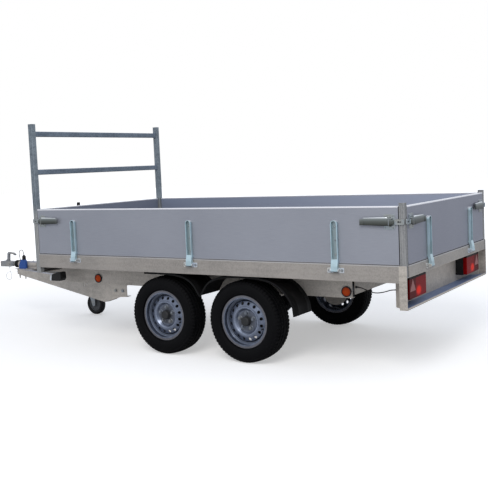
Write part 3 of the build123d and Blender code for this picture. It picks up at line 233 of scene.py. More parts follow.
def finish_nodes(material, *names, second=None, where=None):
    """Gives CAD nodes their finish, and a second one to the faces whose centres satisfy `where`."""
    for name in names:
        mesh = nodes[name].data
        mesh.materials.clear()
        mesh.materials.append(material)
        if second:
            mesh.materials.append(second)
            centres = np.zeros(len(mesh.polygons) * 3)
            mesh.polygons.foreach_get("center", centres)
            picked = where(*centres.reshape(-1, 3).T).astype(np.int32)
            mesh.polygons.foreach_set("material_index", picked)


print("paint box ready")

# %% [markdown]
# ## Galvanised steel
# Hot-dip zinc dries to a matt, slightly warm grey with a faint patchwork of crystals, called
# spangle, and with paler clouds where it has weathered. A flat grey metal would look like
# plastic. A Voronoi pattern gives the crystals, stretched noise gives the run marks, and both
# move the colour only a little, because fresh galvanising is nearly even. Faces that look up
# are painted bluer, a painted reflection of the sky, which the height of the surface's normal
# picks out. A pale line along the frame's top edge is a painted highlight, and the chassis
# takes a paler copy of the galvanising, painted light against the shade under the bed.

# %% Galvanised finish
# painted reflection of the sky for faces that look up, and a painted highlight along a top edge
SKY_REFLECTION_BLUE, EDGE_HIGHLIGHT = tint(104, 130, 176), tint(206, 206, 208)
CRYSTALS = 120  # crystals in a metre


def galvanised(name, pale, dark, metallic=0.25, streak=(0.10, 1, 1), low=None, edge=None,
               sky=0.35):
    """Galvanising that fades to the colour `low` under the boards' tops, with a painted highlight,
    a pale line, above the height `edge`. `sky` sets how strongly faces that look up take the
    painted reflection of the sky."""
    paint = Paint(name)
    grey = paint.cells(CRYSTALS)
    clouds = paint.noise(3.5, 5, roughness=0.6)
    runs = paint.noise(45, 3, stretch=streak)
    share = clouds * 0.50 + grey * 0.20 + runs * 0.35
    colour = paint.blend(paint.between(share, 0.32, 0.78), pale, dark)
    # painted reflection of the sky: faces that look up turn bluer
    colour = paint.blend(paint.between(paint.up, 0.4, 0.95) * sky, colour, SKY_REFLECTION_BLUE)
    if low:
        colour = paint.blend(paint.between(paint.z, 1.12, 0.98) * 0.8, colour, low)
    # painted highlight: a pale line along the top edge, above the height `edge`
    if edge:
        colour = paint.blend((paint.z > edge) * 0.5, colour, EDGE_HIGHLIGHT)
    rough = 0.48 + grey * 0.10 - clouds * 0.08
    return paint.set(Base_Color=colour, Metallic=metallic, Roughness=rough,
                     Normal=paint.bump(share, 0.10, 0.001))


# the frame's top edge above 0.7085 m carries the painted highlight
frame_steel = galvanised("galvanised_frame", tint(160, 154, 148), tint(134, 130, 125), edge=0.7085)
# the chassis parts take a paler copy of the galvanising: painted light that lifts the shade under
# the bed
chassis_steel = galvanised("galvanised_chassis", tint(192, 185, 176), tint(150, 144, 136))
# the beam's upward ledge takes a stronger painted reflection of the sky
beam_steel = galvanised("galvanised_beam", tint(190, 182, 172), tint(158, 151, 143), sky=0.85)
post_steel = galvanised("galvanised_posts", tint(150, 150, 150), tint(112, 114, 116), 0.35,
                        streak=(1, 1, 0.10))
rack_steel = galvanised("galvanised_rack", tint(132, 142, 150), tint(86, 97, 106), 0.35,
                        streak=(1, 0.10, 1), low=tint(164, 164, 162))
rail_steel = galvanised("galvanised_rails", tint(116, 128, 142), tint(74, 86, 100), 0.35,
                        streak=(1, 0.10, 1))
finish_nodes(frame_steel, "frame_side_rails", "end_beams")
finish_nodes(beam_steel, "light_beam")
finish_nodes(chassis_steel, "cross_members", "chassis_members", "drawbar_leg_left",
             "drawbar_leg_right", "axle_front", "axle_rear", "swing_arms", "coupling_housing")
# below this height a rear post takes the paler chassis copy, painted light under the bed
POST_JOINT = 0.7135  # above this height a rear post stands free and is darker
finish_nodes(post_steel, "rear_posts", second=chassis_steel, where=lambda x, y, z: z < POST_JOINT)
finish_nodes(rack_steel, "front_posts")
finish_nodes(rail_steel, "rack_rails")
print("galvanised:", frame_steel.name, chassis_steel.name, beam_steel.name, post_steel.name)

# %% [markdown]
# ## Anodised boards
# The drop boards are aluminium extrusions. The die leaves very fine lines along the board, and
# the anodising turns them a cool grey that keeps a soft sheen. The lines run along X on the sides
# and along Y on the end boards, so the same noise is squeezed along a different axis. The rounded
# bead along the top is polished by hands and loads, and is smoother; a painted highlight, a bright
# line in its colour, runs along it, and a fainter one along the board's foot. The inner skin is
# painted bluer and paler towards the rear, a painted reflection of the sky. The end boards take a
# darker copy of the sides' tones, painted shade.

# %% Board finish
board_foot, board_top = (corner.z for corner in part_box("left_side_board"))
bed_low, bed_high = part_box("deck_floor")
BED_MIDDLE, SKIN = (bed_low.x + bed_high.x) / 2, 0.004
BEAD_FOOT = board_top - 0.0085  # height where the bead along a board's top starts
# painted highlight for the bead and the foot; painted sky reflection and painted shade for the
# inner skin
PAINTED_HIGHLIGHT, INNER_REAR, INNER_SHADE = tint(236, 236, 240), tint(180, 188, 208), tint(120, 130, 152)


def outwards(paint):
    """Distance of a shaded point beyond the faces of the bed's frame, negative inside it."""
    sideways = paint.y.of("ABSOLUTE") - (bed_high.y + SKIN)
    endways = (paint.x - BED_MIDDLE).of("ABSOLUTE") - ((bed_high.x - bed_low.x) / 2 + SKIN)
    return sideways.of("MAXIMUM", endways)


def anodised(name, along, outer, inner_front):
    """Board finish with die lines `along` an axis: two tones outside, and one inside at the front,
    where the inner skin's painted reflection of the sky starts.
    """
    paint = Paint(name)
    fine = (0.02, 1, 1) if along == "x" else (1, 0.02, 1)
    die_lines = paint.noise(700, 2, stretch=fine)
    waves = paint.noise(2.2, 2)
    share = die_lines * 0.5 + waves * 0.5
    pale, deep = outer
    plain = paint.blend(paint.between(share, 0.3, 0.7), pale, deep)
    bead = paint.z > BEAD_FOOT
    # painted reflection of the sky on the inner skin, paler and bluer towards the rear, with
    # patches of painted shade
    inner = paint.between(outwards(paint), -0.020, -0.026)
    rearward = paint.between(paint.x, bed_high.x, bed_low.x)
    skin = paint.blend(rearward, inner_front, INNER_REAR)
    plain = paint.blend(inner, plain, paint.blend(waves * 0.25, skin, INNER_SHADE))
    # painted highlights: a bright line on the bead along the top and a fainter one at the foot
    lip = paint.between(paint.z, board_foot + 0.004, board_foot - 0.001)
    shine = bead * 0.95 + lip * 0.35
    colour = paint.blend(shine, plain, PAINTED_HIGHLIGHT)
    rough = 0.44 + die_lines * 0.1 - bead * 0.2
    return paint.set(Base_Color=colour, Metallic=0.25, Roughness=rough,
                     Normal=paint.bump(die_lines, 0.06, 0.0005))


# the end boards take a darker copy of the sides' anodising, outside and inside: painted shade
side_tones = (tint(147, 150, 159), tint(138, 141, 150))
end_tones = (tint(134, 136, 147), tint(127, 129, 140))
finish_nodes(anodised("anodised_sides", "x", side_tones, tint(142, 151, 172)), "left_side_board",
             "right_side_board")
finish_nodes(anodised("anodised_ends", "y", end_tones, tint(122, 128, 144)), "tailgate",
             "headboard")
print("board tops are polished above", round(BEAD_FOOT, 4))

# %% [markdown]
# ## Zinc plating
# Hinge straps, latches and the jack are zinc plated: brighter and bluer than galvanising, with a
# faint yellow or violet cast that drifts over the surface. A slow noise mixes the two casts.
# Straps, latches and brackets also take a painted highlight on faces that look up and painted
# shade on faces that look down, in the groove of a strap and down the face of a lever.

# %% Zinc finish
# painted shade and highlight down a lever's face, from near black at its foot to near white at its
# top
LEVER_SHADE_AND_HIGHLIGHT = ((0.0, tint(18, 20, 20)), (0.12, tint(60, 62, 58)), (0.5, tint(94, 98, 94)),
               (0.84, tint(132, 138, 138)), (0.94, tint(240, 244, 246)))
STRAP_FOOT = 0.742  # below this height a strap is flat, without its pressed groove


def zinc(name, cool, warm, metallic=0.6, rough=0.30, shadow=None, floor=None, lever=None):
    """Zinc plating. Where `shadow` is given, faces looking up take a near-white painted highlight
    and faces looking down take `shadow`, painted shade. The floor of a pressed groove takes
    `floor`, painted shade, and a lever between two heights is painted from a highlight along its
    top to shade at its foot."""
    paint = Paint(name)
    drift = paint.noise(14, 3)
    grain = paint.noise(260, 2)
    colour = paint.blend(paint.between(drift, 0.35, 0.7), cool, warm)
    # painted shade on the floor of a strap's pressed groove
    if floor:
        groove = paint.between(outwards(paint), 0.0012, -0.0008) * (paint.z > STRAP_FOOT)
        colour = paint.blend(groove * 0.9, colour, floor)
    # painted shade and highlight on the lever's face, by height
    if lever:
        height = (paint.z - lever[0]) / (lever[1] - lever[0])
        face = paint.node("ShaderNodeValToRGB", {"stops": LEVER_SHADE_AND_HIGHLIGHT}, {0: height})
        colour = paint.blend(outwards(paint) > 0.0085, colour, face)
    # painted highlight on faces that look up, painted shade on faces that look down
    if shadow:
        colour = paint.blend(paint.between(paint.up, 0.3, 0.9), colour, tint(240, 244, 248))
        colour = paint.blend(paint.between(paint.up, -0.2, -0.8), colour, shadow)
    return paint.set(Base_Color=colour, Metallic=metallic, Roughness=rough + grain * 0.12,
                     Normal=paint.bump(grain, 0.05, 0.0005))


bright_zinc = zinc("bright_zinc", tint(184, 208, 218), tint(168, 190, 196), shadow=tint(70, 84, 92),
                   floor=tint(138, 150, 152))
latch_zinc = zinc("latch_zinc", tint(150, 160, 166), tint(156, 156, 150), 0.7, 0.24,
                  shadow=tint(38, 42, 44), lever=(0.952, 1.006))
bracket_zinc = zinc("bracket_zinc", tint(198, 206, 216), tint(200, 198, 192), 0.6,
                    shadow=tint(80, 84, 88))
bolt_zinc = zinc("bolt_zinc", tint(138, 144, 150), tint(152, 152, 148), 0.7, 0.28)
nut_steel = zinc("nut_steel", tint(112, 118, 128), tint(126, 128, 130), 0.7, 0.30)
jack_zinc = zinc("jack_zinc", tint(150, 156, 162), tint(166, 166, 160))
coupling_zinc = zinc("coupling_zinc", tint(140, 142, 146), tint(156, 154, 150), 0.4, 0.40)
finish_nodes(bright_zinc, *[name for name in nodes if name.endswith("_straps")])
finish_nodes(latch_zinc, *[name for name in nodes if name.endswith("_latches")])
finish_nodes(bracket_zinc, "hinge_brackets")
finish_nodes(jack_zinc, "jack_tube", "jack_clamp", "jack_leg", "jack_fork")
finish_nodes(coupling_zinc, "coupling_head", "coupling_handle")
print("zinc on", sum(name.endswith(("_straps", "_latches")) for name in nodes), "hinges, latches")

# %% [markdown]
# ## Black mouldings, rubber and painted parts
# Mudguards and lamp bodies are grained plastic, tyres are matt rubber that greys a little with
# dust, and the drums carry a thin black paint. They differ in gloss and grain more than in
# colour.

# %% Dark finishes
GRIP_FOOT = 0.9885  # height where the crank's rod enters its grip


def moulded(name, colour, rough, grain_scale, grain_depth, dust=0.0, gleam=0.3):
    """Grained plastic, rubber or paint; `dust` is added to the colour in slow clouds."""
    paint = Paint(name)
    grain = paint.noise(grain_scale, 2)
    cloud = paint.noise(9, 4)
    dusty = tuple(min(1.0, channel + dust) for channel in colour[:3]) + (1.0,)
    return paint.set(Base_Color=paint.blend(cloud, colour, dusty), Roughness=rough + grain * 0.15,
                     Normal=paint.bump(grain, grain_depth, 0.0008), Specular_IOR_Level=gleam)


guard_plastic = moulded("guard_plastic", tint(8, 8, 9), 0.55, 420, 0.20, 0.001, 0.14)
tyre_rubber = moulded("tyre_rubber", tint(6, 6, 8), 0.62, 300, 0.12, 0.0015, 0.08)
soft_rubber = moulded("soft_rubber", tint(20, 20, 21), 0.60, 500, 0.20, 0.004)
lamp_body = moulded("lamp_body", tint(14, 14, 15), 0.35, 300, 0.10, 0.003)
drum_black = moulded("drum_black", tint(30, 31, 33), 0.45, 160, 0.30, 0.012)
lever_grey = moulded("lever_grey", tint(92, 93, 95), 0.40, 200, 0.10, 0.02)
holder_blue = moulded("holder_blue", tint(36, 78, 150), 0.28, 300, 0.05, 0.01)
end_cap = moulded("end_cap", tint(58, 60, 64), 0.45, 300, 0.10, 0.01)
finish_nodes(guard_plastic, "mudguards")
finish_nodes(lamp_body, "tail_lamps", "marker_lamps")
finish_nodes(soft_rubber, "coupling_bellows", "plug", "plug_lead", "lamp_lead", "jack_wheel")
finish_nodes(lever_grey, "handbrake_lever")
finish_nodes(holder_blue, "plug_holder")
finish_nodes(tyre_rubber, *[name for name in nodes if name.startswith("tyre_")])
finish_nodes(drum_black, *[name for name in nodes if name.startswith("hub_")])
finish_nodes(jack_zinc, "jack_crank", second=soft_rubber, where=lambda x, y, z: z > GRIP_FOOT)
print("mouldings:", guard_plastic.name, tyre_rubber.name, soft_rubber.name, lamp_body.name)

# %% [markdown]
# ## Wheel lacquer
# Pressed steel rims are sprayed silver. The disc's centre, close to the hub, is darker and
# rougher, the pressed ridge outside it carries a painted highlight, the deep step under the
# flange takes painted shade and the rolled outer band is a warmer grey. The distance from the
# nearest axle line says which of these a spot is on.

# %% Rim finish
def axle_distance(paint, wheel_name):
    """Distance of a shaded point from one wheel's axis."""
    low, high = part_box(wheel_name)
    across = paint.x - (low.x + high.x) / 2
    height = paint.z - (low.z + high.z) / 2
    return (across * across + height * height).of("SQRT")


# radii in metres over which each part of a rim fades in, and out again
RIDGE = (0.084, 0.090), (0.095, 0.101)
STEP = (0.136, 0.143), (0.156, 0.161)
BAND, HUB_DARKENING = (0.166, 0.171), (0.060, 0.082)


def rim_lacquer():
    paint = Paint("rim_lacquer")
    front, rear = axle_distance(paint, "rim_front_left"), axle_distance(paint, "rim_rear_left")
    radius = front.of("MINIMUM", rear)
    flake = paint.cells(2600)
    cloud = paint.noise(24, 3)
    # darker and rougher towards the hub
    dust = (1 - paint.between(radius, *HUB_DARKENING)) * (0.55 + cloud * 0.5)
    clean = paint.blend(paint.between(cloud, 0.3, 0.8), tint(112, 120, 138), tint(84, 92, 108))
    # painted highlight on the pressed ridge
    clean = paint.blend(paint.bounded(radius, *RIDGE) * 0.5, clean, tint(148, 158, 178))
    # painted shade in the deep step under the flange
    clean = paint.blend(paint.bounded(radius, *STEP) * 0.7, clean, tint(48, 54, 66))
    colour = paint.blend(paint.between(radius, *BAND) * 0.7, clean, tint(108, 104, 104))
    colour = paint.blend(dust * 0.8, colour, tint(70, 70, 72))
    return paint.set(Base_Color=colour, Metallic=0.68, Roughness=0.22 + flake * 0.10 + dust * 0.20,
                     Coat_Weight=0.15)


finish_nodes(rim_lacquer(), *[name for name in nodes if name.startswith("rim_")])
print("rims are dusty inside", HUB_DARKENING[1], "m of their axles")

# %% [markdown]
# ## Lamp lenses
# A lens is clear red plastic with small prisms moulded inside. Modelling thousands of prisms
# would cost much and show little, so the prism height is a small repeating pattern that tilts the
# shading normal. The lens is divided like a real one: a deeper red at its outer end, an orange
# indicator field painted brightest in its middle, a painted highlight, and a black rim along
# the top.

# %% Lenses
PRISMS = 260  # prisms in a metre


def lens(name, colour, deep, field=None, field_colour=None, coat=0.0):
    """Ribbed plastic. `field` is the middle and half size, in Y and Z, of a brighter oval: a
    painted highlight, brightest in its middle.
    """
    paint = Paint(name)
    ribs = (paint.y * PRISMS).of("FRACT")
    rows = (paint.z * PRISMS).of("FRACT")
    prism = (ribs - 0.5).of("ABSOLUTE") + (rows - 0.5).of("ABSOLUTE")
    shade = paint.blend(prism, colour, deep)
    if field:
        middle_y, middle_z, half_y, half_z = field
        side = paint.y.of("ABSOLUTE")
        shade = paint.blend(paint.between(side, 0.585, 0.60) * 0.75, shade, deep)
        across, height = (side - middle_y) / half_y, (paint.z - middle_z) / half_z
        away = (across * across + height * height).of("SQRT")
        # painted highlight: the orange field is brightest in its middle
        shade = paint.blend(paint.between(away, 1.0, 0.35), shade, field_colour)
        rim = paint.between(paint.z, middle_z + 0.080, middle_z + 0.086)
        shade = paint.blend(rim, shade, tint(20, 8, 9))
    return paint.set(Base_Color=shade, Roughness=0.30, Coat_Weight=coat,
                     Normal=paint.bump(prism, 0.25, 0.0012), IOR=1.12)


orange_field = (0.545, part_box("tail_lenses")[0].z + 0.040, 0.055, 0.038)
red_lens = lens("red_lens", tint(158, 10, 14), tint(60, 2, 4), orange_field, tint(232, 40, 20))
amber_lens = lens("amber_lens", tint(214, 84, 18), tint(140, 34, 10), coat=0.15)
clear_lens = lens("clear_lens", tint(238, 240, 242), tint(206, 212, 218))
reflex_lens = lens("reflex_lens", tint(168, 122, 118), tint(120, 70, 70), coat=0.1)
finish_nodes(red_lens, "tail_lenses")
finish_nodes(lamp_body, "side_reflectors")
print("lenses:", red_lens.name, amber_lens.name, clear_lens.name, reflex_lens.name)

# %% [markdown]
# ## Deck
# The load floor is brown resin-faced plywood with a wire mesh pressed into its upper side for
# grip. The mesh is two families of lines at right angles, turned by 45 degrees: the fractional
# part of x + y and of x - y. Whichever line is nearer raises the surface.

# %% Deck finish
MESHES = 120  # wires of the pressed mesh in a metre of x + y


def deck_board():
    paint = Paint("deck_board")
    first = ((paint.x + paint.y) * MESHES).of("FRACT") - 0.5
    second = ((paint.x - paint.y) * MESHES).of("FRACT") - 0.5
    mesh = first.of("ABSOLUTE").of("MAXIMUM", second.of("ABSOLUTE"))
    cloud = paint.noise(4, 5)
    scuffs = paint.noise(30, 4, stretch=(0.1, 1, 1))
    worn = paint.between(scuffs, 0.62, 0.8)
    colour = paint.blend(cloud, tint(70, 56, 48), tint(54, 44, 39))
    colour = paint.blend(worn * 0.4, colour, tint(104, 92, 82))
    return paint.set(Base_Color=colour, Roughness=0.45 + cloud * 0.15,
                     Normal=paint.bump(mesh, 0.25, 0.0008))


finish_nodes(deck_board(), "deck_floor")
print("finished", len(nodes), "nodes")

# %% [markdown]
# ## The floor
# The trailer stands on a plain white floor. A brighter lamp would whiten it too, but would burn
# out the boards, so the floor adds a little light of its own that only the camera sees. It grows
# with the distance from the trailer, and leaves the soft shadow under it alone.

# %% Floor
BLACK, WHITE = (0, 0, 0, 1), (1, 1, 1, 1)


def studio_floor():
    reach = 40.0
    corners = [(-reach, -reach, 0), (reach, -reach, 0), (reach, reach, 0), (-reach, reach, 0)]
    mesh = bpy.data.meshes.new("floor")
    mesh.from_pydata(corners, [], [(0, 1, 2, 3)])
    floor = bpy.data.objects.new("floor", mesh)
    bpy.context.scene.collection.objects.link(floor)
    paint = Paint("floor_white")
    seen = paint.node("ShaderNodeLightPath", output="Is Camera Ray")
    material = paint.set(Base_Color=(0.82, 0.82, 0.82, 1), Roughness=0.9, Specular_IOR_Level=0.1)
    distance = (paint.x * paint.x + paint.y * paint.y).of("SQRT")
    glow = seen * (paint.between(distance, 2.0, 8.0) * 0.42 + 0.42)
    glow = paint.node("ShaderNodeEmission", values={"Color": paint.blend(glow, BLACK, WHITE)})
    lit = Wire(paint, paint.shader.outputs[0])
    both = paint.node("ShaderNodeAddShader", values={0: lit, 1: glow})
    out = paint.tree.nodes["Material Output"]
    paint.tree.links.new(both.socket, out.inputs["Surface"])
    mesh.materials.append(material)


studio_floor()
print("floor laid at height 0")

# %% [markdown]
# ## The sky
# The world is a soft white tent: white to the camera and to reflections, and gentler to the
# surfaces themselves, so that the background stays clean. A Light Path node tells the rays apart.

# %% Sky
GLEAM, AMBIENT = (0.92, 0.95, 1.0, 1), (0.46, 0.49, 0.55, 1)


def studio_sky():
    world = bpy.data.worlds.new("tent")
    bpy.context.scene.world = world
    world.use_nodes = True
    tree = world.node_tree
    background = tree.nodes["Background"]
    path = tree.nodes.new("ShaderNodeLightPath")
    wire = None
    rays = {"Is Camera Ray": WHITE, "Is Transmission Ray": WHITE, "Is Glossy Ray": GLEAM}
    for ray, seen in rays.items():
        colour = tree.nodes.new("ShaderNodeMix")
        colour.data_type = "RGBA"
        colour.inputs[6].default_value = AMBIENT
        colour.inputs[7].default_value = seen
        tree.links.new(path.outputs[ray], colour.inputs[0])
        if wire:
            tree.links.new(wire, colour.inputs[6])
        wire = colour.outputs[2]
    tree.links.new(wire, background.inputs["Color"])
    background.inputs["Strength"].default_value = 1.0


studio_sky()
print("sky gives", AMBIENT[:3], "to surfaces")

# %% [markdown]
# ## The lamps
# A large warm disc stands high on the left, like the sun through thin cloud, and a weak cool one
# behind lifts the tailgate. Large discs give the soft-edged shadows of an overcast day.

# %% Lamps
def lamp(name, spot, size, power, colour, target=(0, 0, 0.6)):
    data = bpy.data.lights.new(name, "AREA")
    data.shape, data.size, data.energy, data.color = "DISK", size, power, colour
    back = unit(np.subtract(spot, target))
    across = unit(np.cross((0, 0, 1), back))
    aimed(bpy.data.objects.new(name, data), across, np.cross(back, across), back, spot)


lamp("key", (-3.5, 7.5, 6.5), 5.0, 430, (1.0, 0.98, 0.95))
lamp("fill", (-7.0, -2.0, 4.0), 4.0, 60, (0.92, 0.96, 1.0))
bpy.context.scene.view_settings.view_transform = "Standard"
print("lamps:", [light.name for light in bpy.data.lights])

# %% [markdown]
# ## Rings
# Every small piece below is a skin over a series of rings: a bolt is a stack of circles and
# hexagons, a tyre is one cross-section carried round a circle, a grip is a rounded rectangle
# carried along its length. Blender's own modelling operators could make them one at a time, but a
# ring array is one numpy expression, and the same few functions then serve bolts, nuts, tyres and
# grips.

# %% Rings
def station(along, y, z):
    """A point given by its distance ahead of the bed's rear face, in millimetres."""
    return np.array((bed_rear + along / 1000, y / 1000, z / 1000))


def square_to(axis):
    """Two directions square to `axis` and the unit axis, right-handed in that order."""
    axis = unit(axis)
    first = unit(np.cross((0, 0, 1) if abs(axis[2]) < 0.9 else (1, 0, 0), axis))
    return first, np.cross(axis, first), axis


def spokes(angle, first, second):
    """Unit vectors cos(angle) * first + sin(angle) * second, a row for each angle."""
    return np.cos(angle)[:, None] * first + np.sin(angle)[:, None] * second


def turned(profile, spot, axis, count=24, sides=6):
    """Rings of a turned body. Each row of `profile` is radius and height in millimetres and a mark:
    the ring is radius * (cos a, sin a) round `axis`, and where the mark is 1 the radius is
    multiplied by cos(pi/n) / cos(a mod 2pi/n - pi/n), which flattens it into n sides."""
    first, second, axis = square_to(axis)
    angle = np.linspace(0, 2 * np.pi, count, endpoint=False)
    part = np.pi / sides
    flat = np.cos(part) / np.cos(angle % (2 * part) - part)
    radius, height, mark = np.array([(*row, 0)[:3] for row in profile], float).T
    reach = radius[:, None] * np.where(mark[:, None] > 0, flat, 1.0) / 1000
    spoke = spokes(angle, first, second)
    return spot + reach[..., None] * spoke + height[:, None, None] / 1000 * axis


def hoop(section, spot, axis, count=64):
    """Rings of a closed `section`, millimetres along the axis and outwards, carried once round."""
    first, second, axis = square_to(axis)
    spoke = spokes(np.linspace(0, 2 * np.pi, count, endpoint=False), first, second)
    along, reach = np.array(section, float).T / 1000
    return spot + reach[:, None] * spoke[:, None] + along[:, None] * axis


def carried(section, path, upward=(0, 0, 1)):
    """Rings of `section` (rows of sideways and upward millimetres, anticlockwise seen from the
    path's end) at each point of `path`, turned square to it. `section` may also have one set of
    rows for each point."""
    path = np.array(path, float)
    ahead = np.gradient(path, axis=0)
    ahead /= np.linalg.norm(ahead, axis=1)[:, None]
    aside = np.cross(upward, ahead)
    aside /= np.linalg.norm(aside, axis=1)[:, None]
    over = np.cross(ahead, aside)
    section = np.broadcast_to(np.array(section, float), (len(path), *np.shape(section)[-2:])) / 1000
    return path[:, None] + section[..., :1] * aside[:, None] + section[..., 1:] * over[:, None]


def rounded(width, height, corner, count=6):
    """Anticlockwise section of a rectangle with rounded corners."""
    turn = np.linspace(0, np.pi / 2, count)
    arcs = []
    for quarter, (x, y) in enumerate(((1, 1), (-1, 1), (-1, -1), (1, -1))):
        angle = turn + quarter * np.pi / 2
        arcs.append(np.stack([x * (width / 2 - corner) + corner * np.cos(angle),
                              y * (height / 2 - corner) + corner * np.sin(angle)], 1))
    return np.concatenate(arcs)


def flip(points):
    """The other side of the trailer: Y negated, and each ring reversed to keep faces outward."""
    return (np.asarray(points) * (1, -1, 1))[:, ::-1]


SIDES = {"left": 1, "right": -1}
print("a test bolt has", turned([(8, 0), (8, 5, 1)], station(0, 0, 0), (0, 0, 1)).shape, "points")

# %% [markdown]
# ## Skins
# Rings become a piece when neighbouring rings are joined by four-cornered faces. `Shape` gathers
# any number of such skins, so that all the rivets of a board are one piece, and `piece` also says
# which body it rides on.

# %% Skins
class Shape:
    """Collects skins over rings, then makes one piece of them."""

    def __init__(self):
        self.points, self.faces, self.count = [], [], 0

    def add(self, rings, closed=False):
        """Skins rings, each anticlockwise about the way they travel. `closed` joins the last ring
        to the first; otherwise a flat face closes each end."""
        rings = np.asarray(rings, float)
        number, around, _ = rings.shape
        index = self.count + np.arange(number * around).reshape(number, around)
        here, ahead = (index, np.roll(index, -1, 0)) if closed else (index[:-1], index[1:])
        quads = np.stack([here, np.roll(here, -1, 1), np.roll(ahead, -1, 1), ahead], -1)
        self.faces += quads.reshape(-1, 4).tolist()
        if not closed:
            self.faces += [index[0, ::-1].tolist(), index[-1].tolist()]
        self.points.append(rings.reshape(-1, 3))
        self.count += number * around
        return self

    def piece(self, name, material, body, slot, smooth=40, replaces=()):
        """The mesh object: smooth over edges flatter than `smooth` degrees, riding on `body`."""
        mesh = bpy.data.meshes.new(name)
        mesh.from_pydata(np.concatenate(self.points).tolist(), [], self.faces)
        mesh.materials.append(material)
        mesh.shade_smooth()
        mesh.set_sharp_from_angle(angle=math.radians(smooth))
        piece = bpy.data.objects.new(name, mesh)
        bpy.context.scene.collection.objects.link(piece)
        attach(piece, body)
        for node in replaces:
            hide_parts(node)
        return piece


block = Shape().add(turned([(5, 0), (5, 5)], 0, (0, 0, 1), 4))
print("a skinned block has", len(block.faces), "faces")

# %% [markdown]
# ## Tyres
# A van tyre is a rounded casing with four grooves round it, cross slots in the shoulders and thin
# cuts in the middle ribs. The tread could be a displaced texture, but the outline against a white
# ground shows every block, so it is real shape here. The casing is a cross-section in (radius, y)
# carried round the axle, and the tread is a depth subtracted from the radius: a function of the
# angle and of y. The angles are bunched at slot edges, four to a pitch, which keeps the walls
# steep.

# %% Tyres
WHEELS = {"front": 1896, "rear": 1200}  # stations of the axles, in millimetres as all that follow
TYRE_MIDDLE, TYRE_RADIUS = 682.5, 286.0
PITCHES = 68  # blocks round the tread


def tyre_section():
    """Closed section of the casing, in (y, radius) millimetres: outer wall, tread, inner wall."""
    wall = [(70.5 + 17.8 * math.cos(turn * 1.25), 226 + 42 * math.sin(turn * 1.1))
            for turn in np.linspace(-0.92, 0.86, 12)]
    shoulder = [(80.5, 266), (77, 272), (72.5, 277.5), (66, 281.3)]
    ribs = [62, 54, 53, 45, 44, 33, 22, 21, 13, 12, 4]
    crown = [(y, TYRE_RADIUS - 0.2 - 0.00105 * y * y) for y in ribs]
    outer = [(61.8, 166), (62.4, 182), (64, 187), *wall, *shoulder, *crown]
    inner = [(-y, radius) for y, radius in reversed(outer)]
    return np.array(outer + inner + [(-54, 165.4), (54, 165.4)])


def tread_depth(fraction, pitch_number, y, radius):
    """Millimetres cut below the casing at a fraction of a pitch and at y."""
    side = np.abs(y)
    rings = 6.5 * (((side > 44.5) & (side < 53.5)) | ((side > 12.5) & (side < 21.5)))
    shoulder = 5.0 * ((side > 53.8) & (side < 79) & (fraction > 0.6))
    staggered = np.where(y > 0, fraction > 0.6, fraction < 0.3)
    sipes = 2.5 * ((side > 21.8) & (side < 44.2) & staggered)
    middle = 1.6 * ((side < 12.2) & (fraction > 0.6) & (pitch_number % 2 == 0))
    return (rings + shoulder + sipes + middle) * (radius > 262)


def tyre(spot, outward):
    """Rings of the tyre round an axis through `spot` that points `outward`."""
    first, second, axis = square_to(outward)
    pitch = np.repeat(np.arange(PITCHES), 4)
    fraction = np.tile([0.0, 0.56, 0.64, 0.96], PITCHES)
    angle = (pitch + fraction) * 2 * np.pi / PITCHES
    y, radius = tyre_section().T
    reach = radius - tread_depth(fraction[:, None], pitch[:, None], y, radius)
    reach += 0.5 * np.sin(angle * 90)[:, None] * ((radius > 252) & (radius < 264))
    spoke = spokes(angle, first, second)[:, None]
    return spot + (reach[..., None] * spoke + y[:, None] * axis) / 1000


for row, along in WHEELS.items():
    for side, sign in SIDES.items():
        centre = station(along, sign * TYRE_MIDDLE, TYRE_RADIUS)
        casing = Shape().add(tyre(centre, (0, sign, 0)), closed=True)
        casing.piece(f"tread_{row}_{side}", tyre_rubber, f"wheel_{row}_{side}", "tyre_rubber",
                     smooth=35, replaces=[f"tyre_{row}_{side}"])
print("each tyre has", len(casing.faces), "faces")

# %% [markdown]
# ## Wheel nuts, grease caps and valves
# Five cone-seated nuts hold each wheel, with the stud's end showing, and a pressed cap keeps the
# bearing's grease in. They are stacks of rings, so a nut is eight rows of radius and height. The
# rubber valve leans out between two vents.

# %% Wheel fittings
DISC = 712.0  # outer face of the wheel disc's middle, where the nuts bear
NUT = [(8, -3), (12.4, 0.2), (13.4, 3, 0), (13.0, 3.2, 1), (13.0, 13, 1), (11.4, 14.6, 0),
       (6.6, 14.8), (6.4, 18.6), (5.2, 19.6)]
CAP = [(31.4, 12), (32.4, 12.6), (31.8, 25.8), (29.6, 28.8), (25, 31.4), (14, 32.2), (0.6, 32.4)]
COLLAR = [(2, 31), (7.5, 31), (7.5, 32.6), (6, 34), (2.6, 34)]
VALVE = [(5.2, -4), (5.2, 4), (3.9, 6), (3.7, 20), (3.2, 21), (3.4, 21.4), (3.4, 31), (2.6, 32)]
SEAT = [(17.5, 0.0), (17.5, 1.2), (15.0, 2.6), (9, 2.7)]
NUT_CIRCLE, VALVE_CIRCLE, VALVE_TURN = 0.056, 0.1405, 200  # radii in metres, an angle in degrees


def ray(degrees):
    """Unit vector in the plane of a wheel."""
    return np.array((math.cos(math.radians(degrees)), 0, math.sin(math.radians(degrees))))


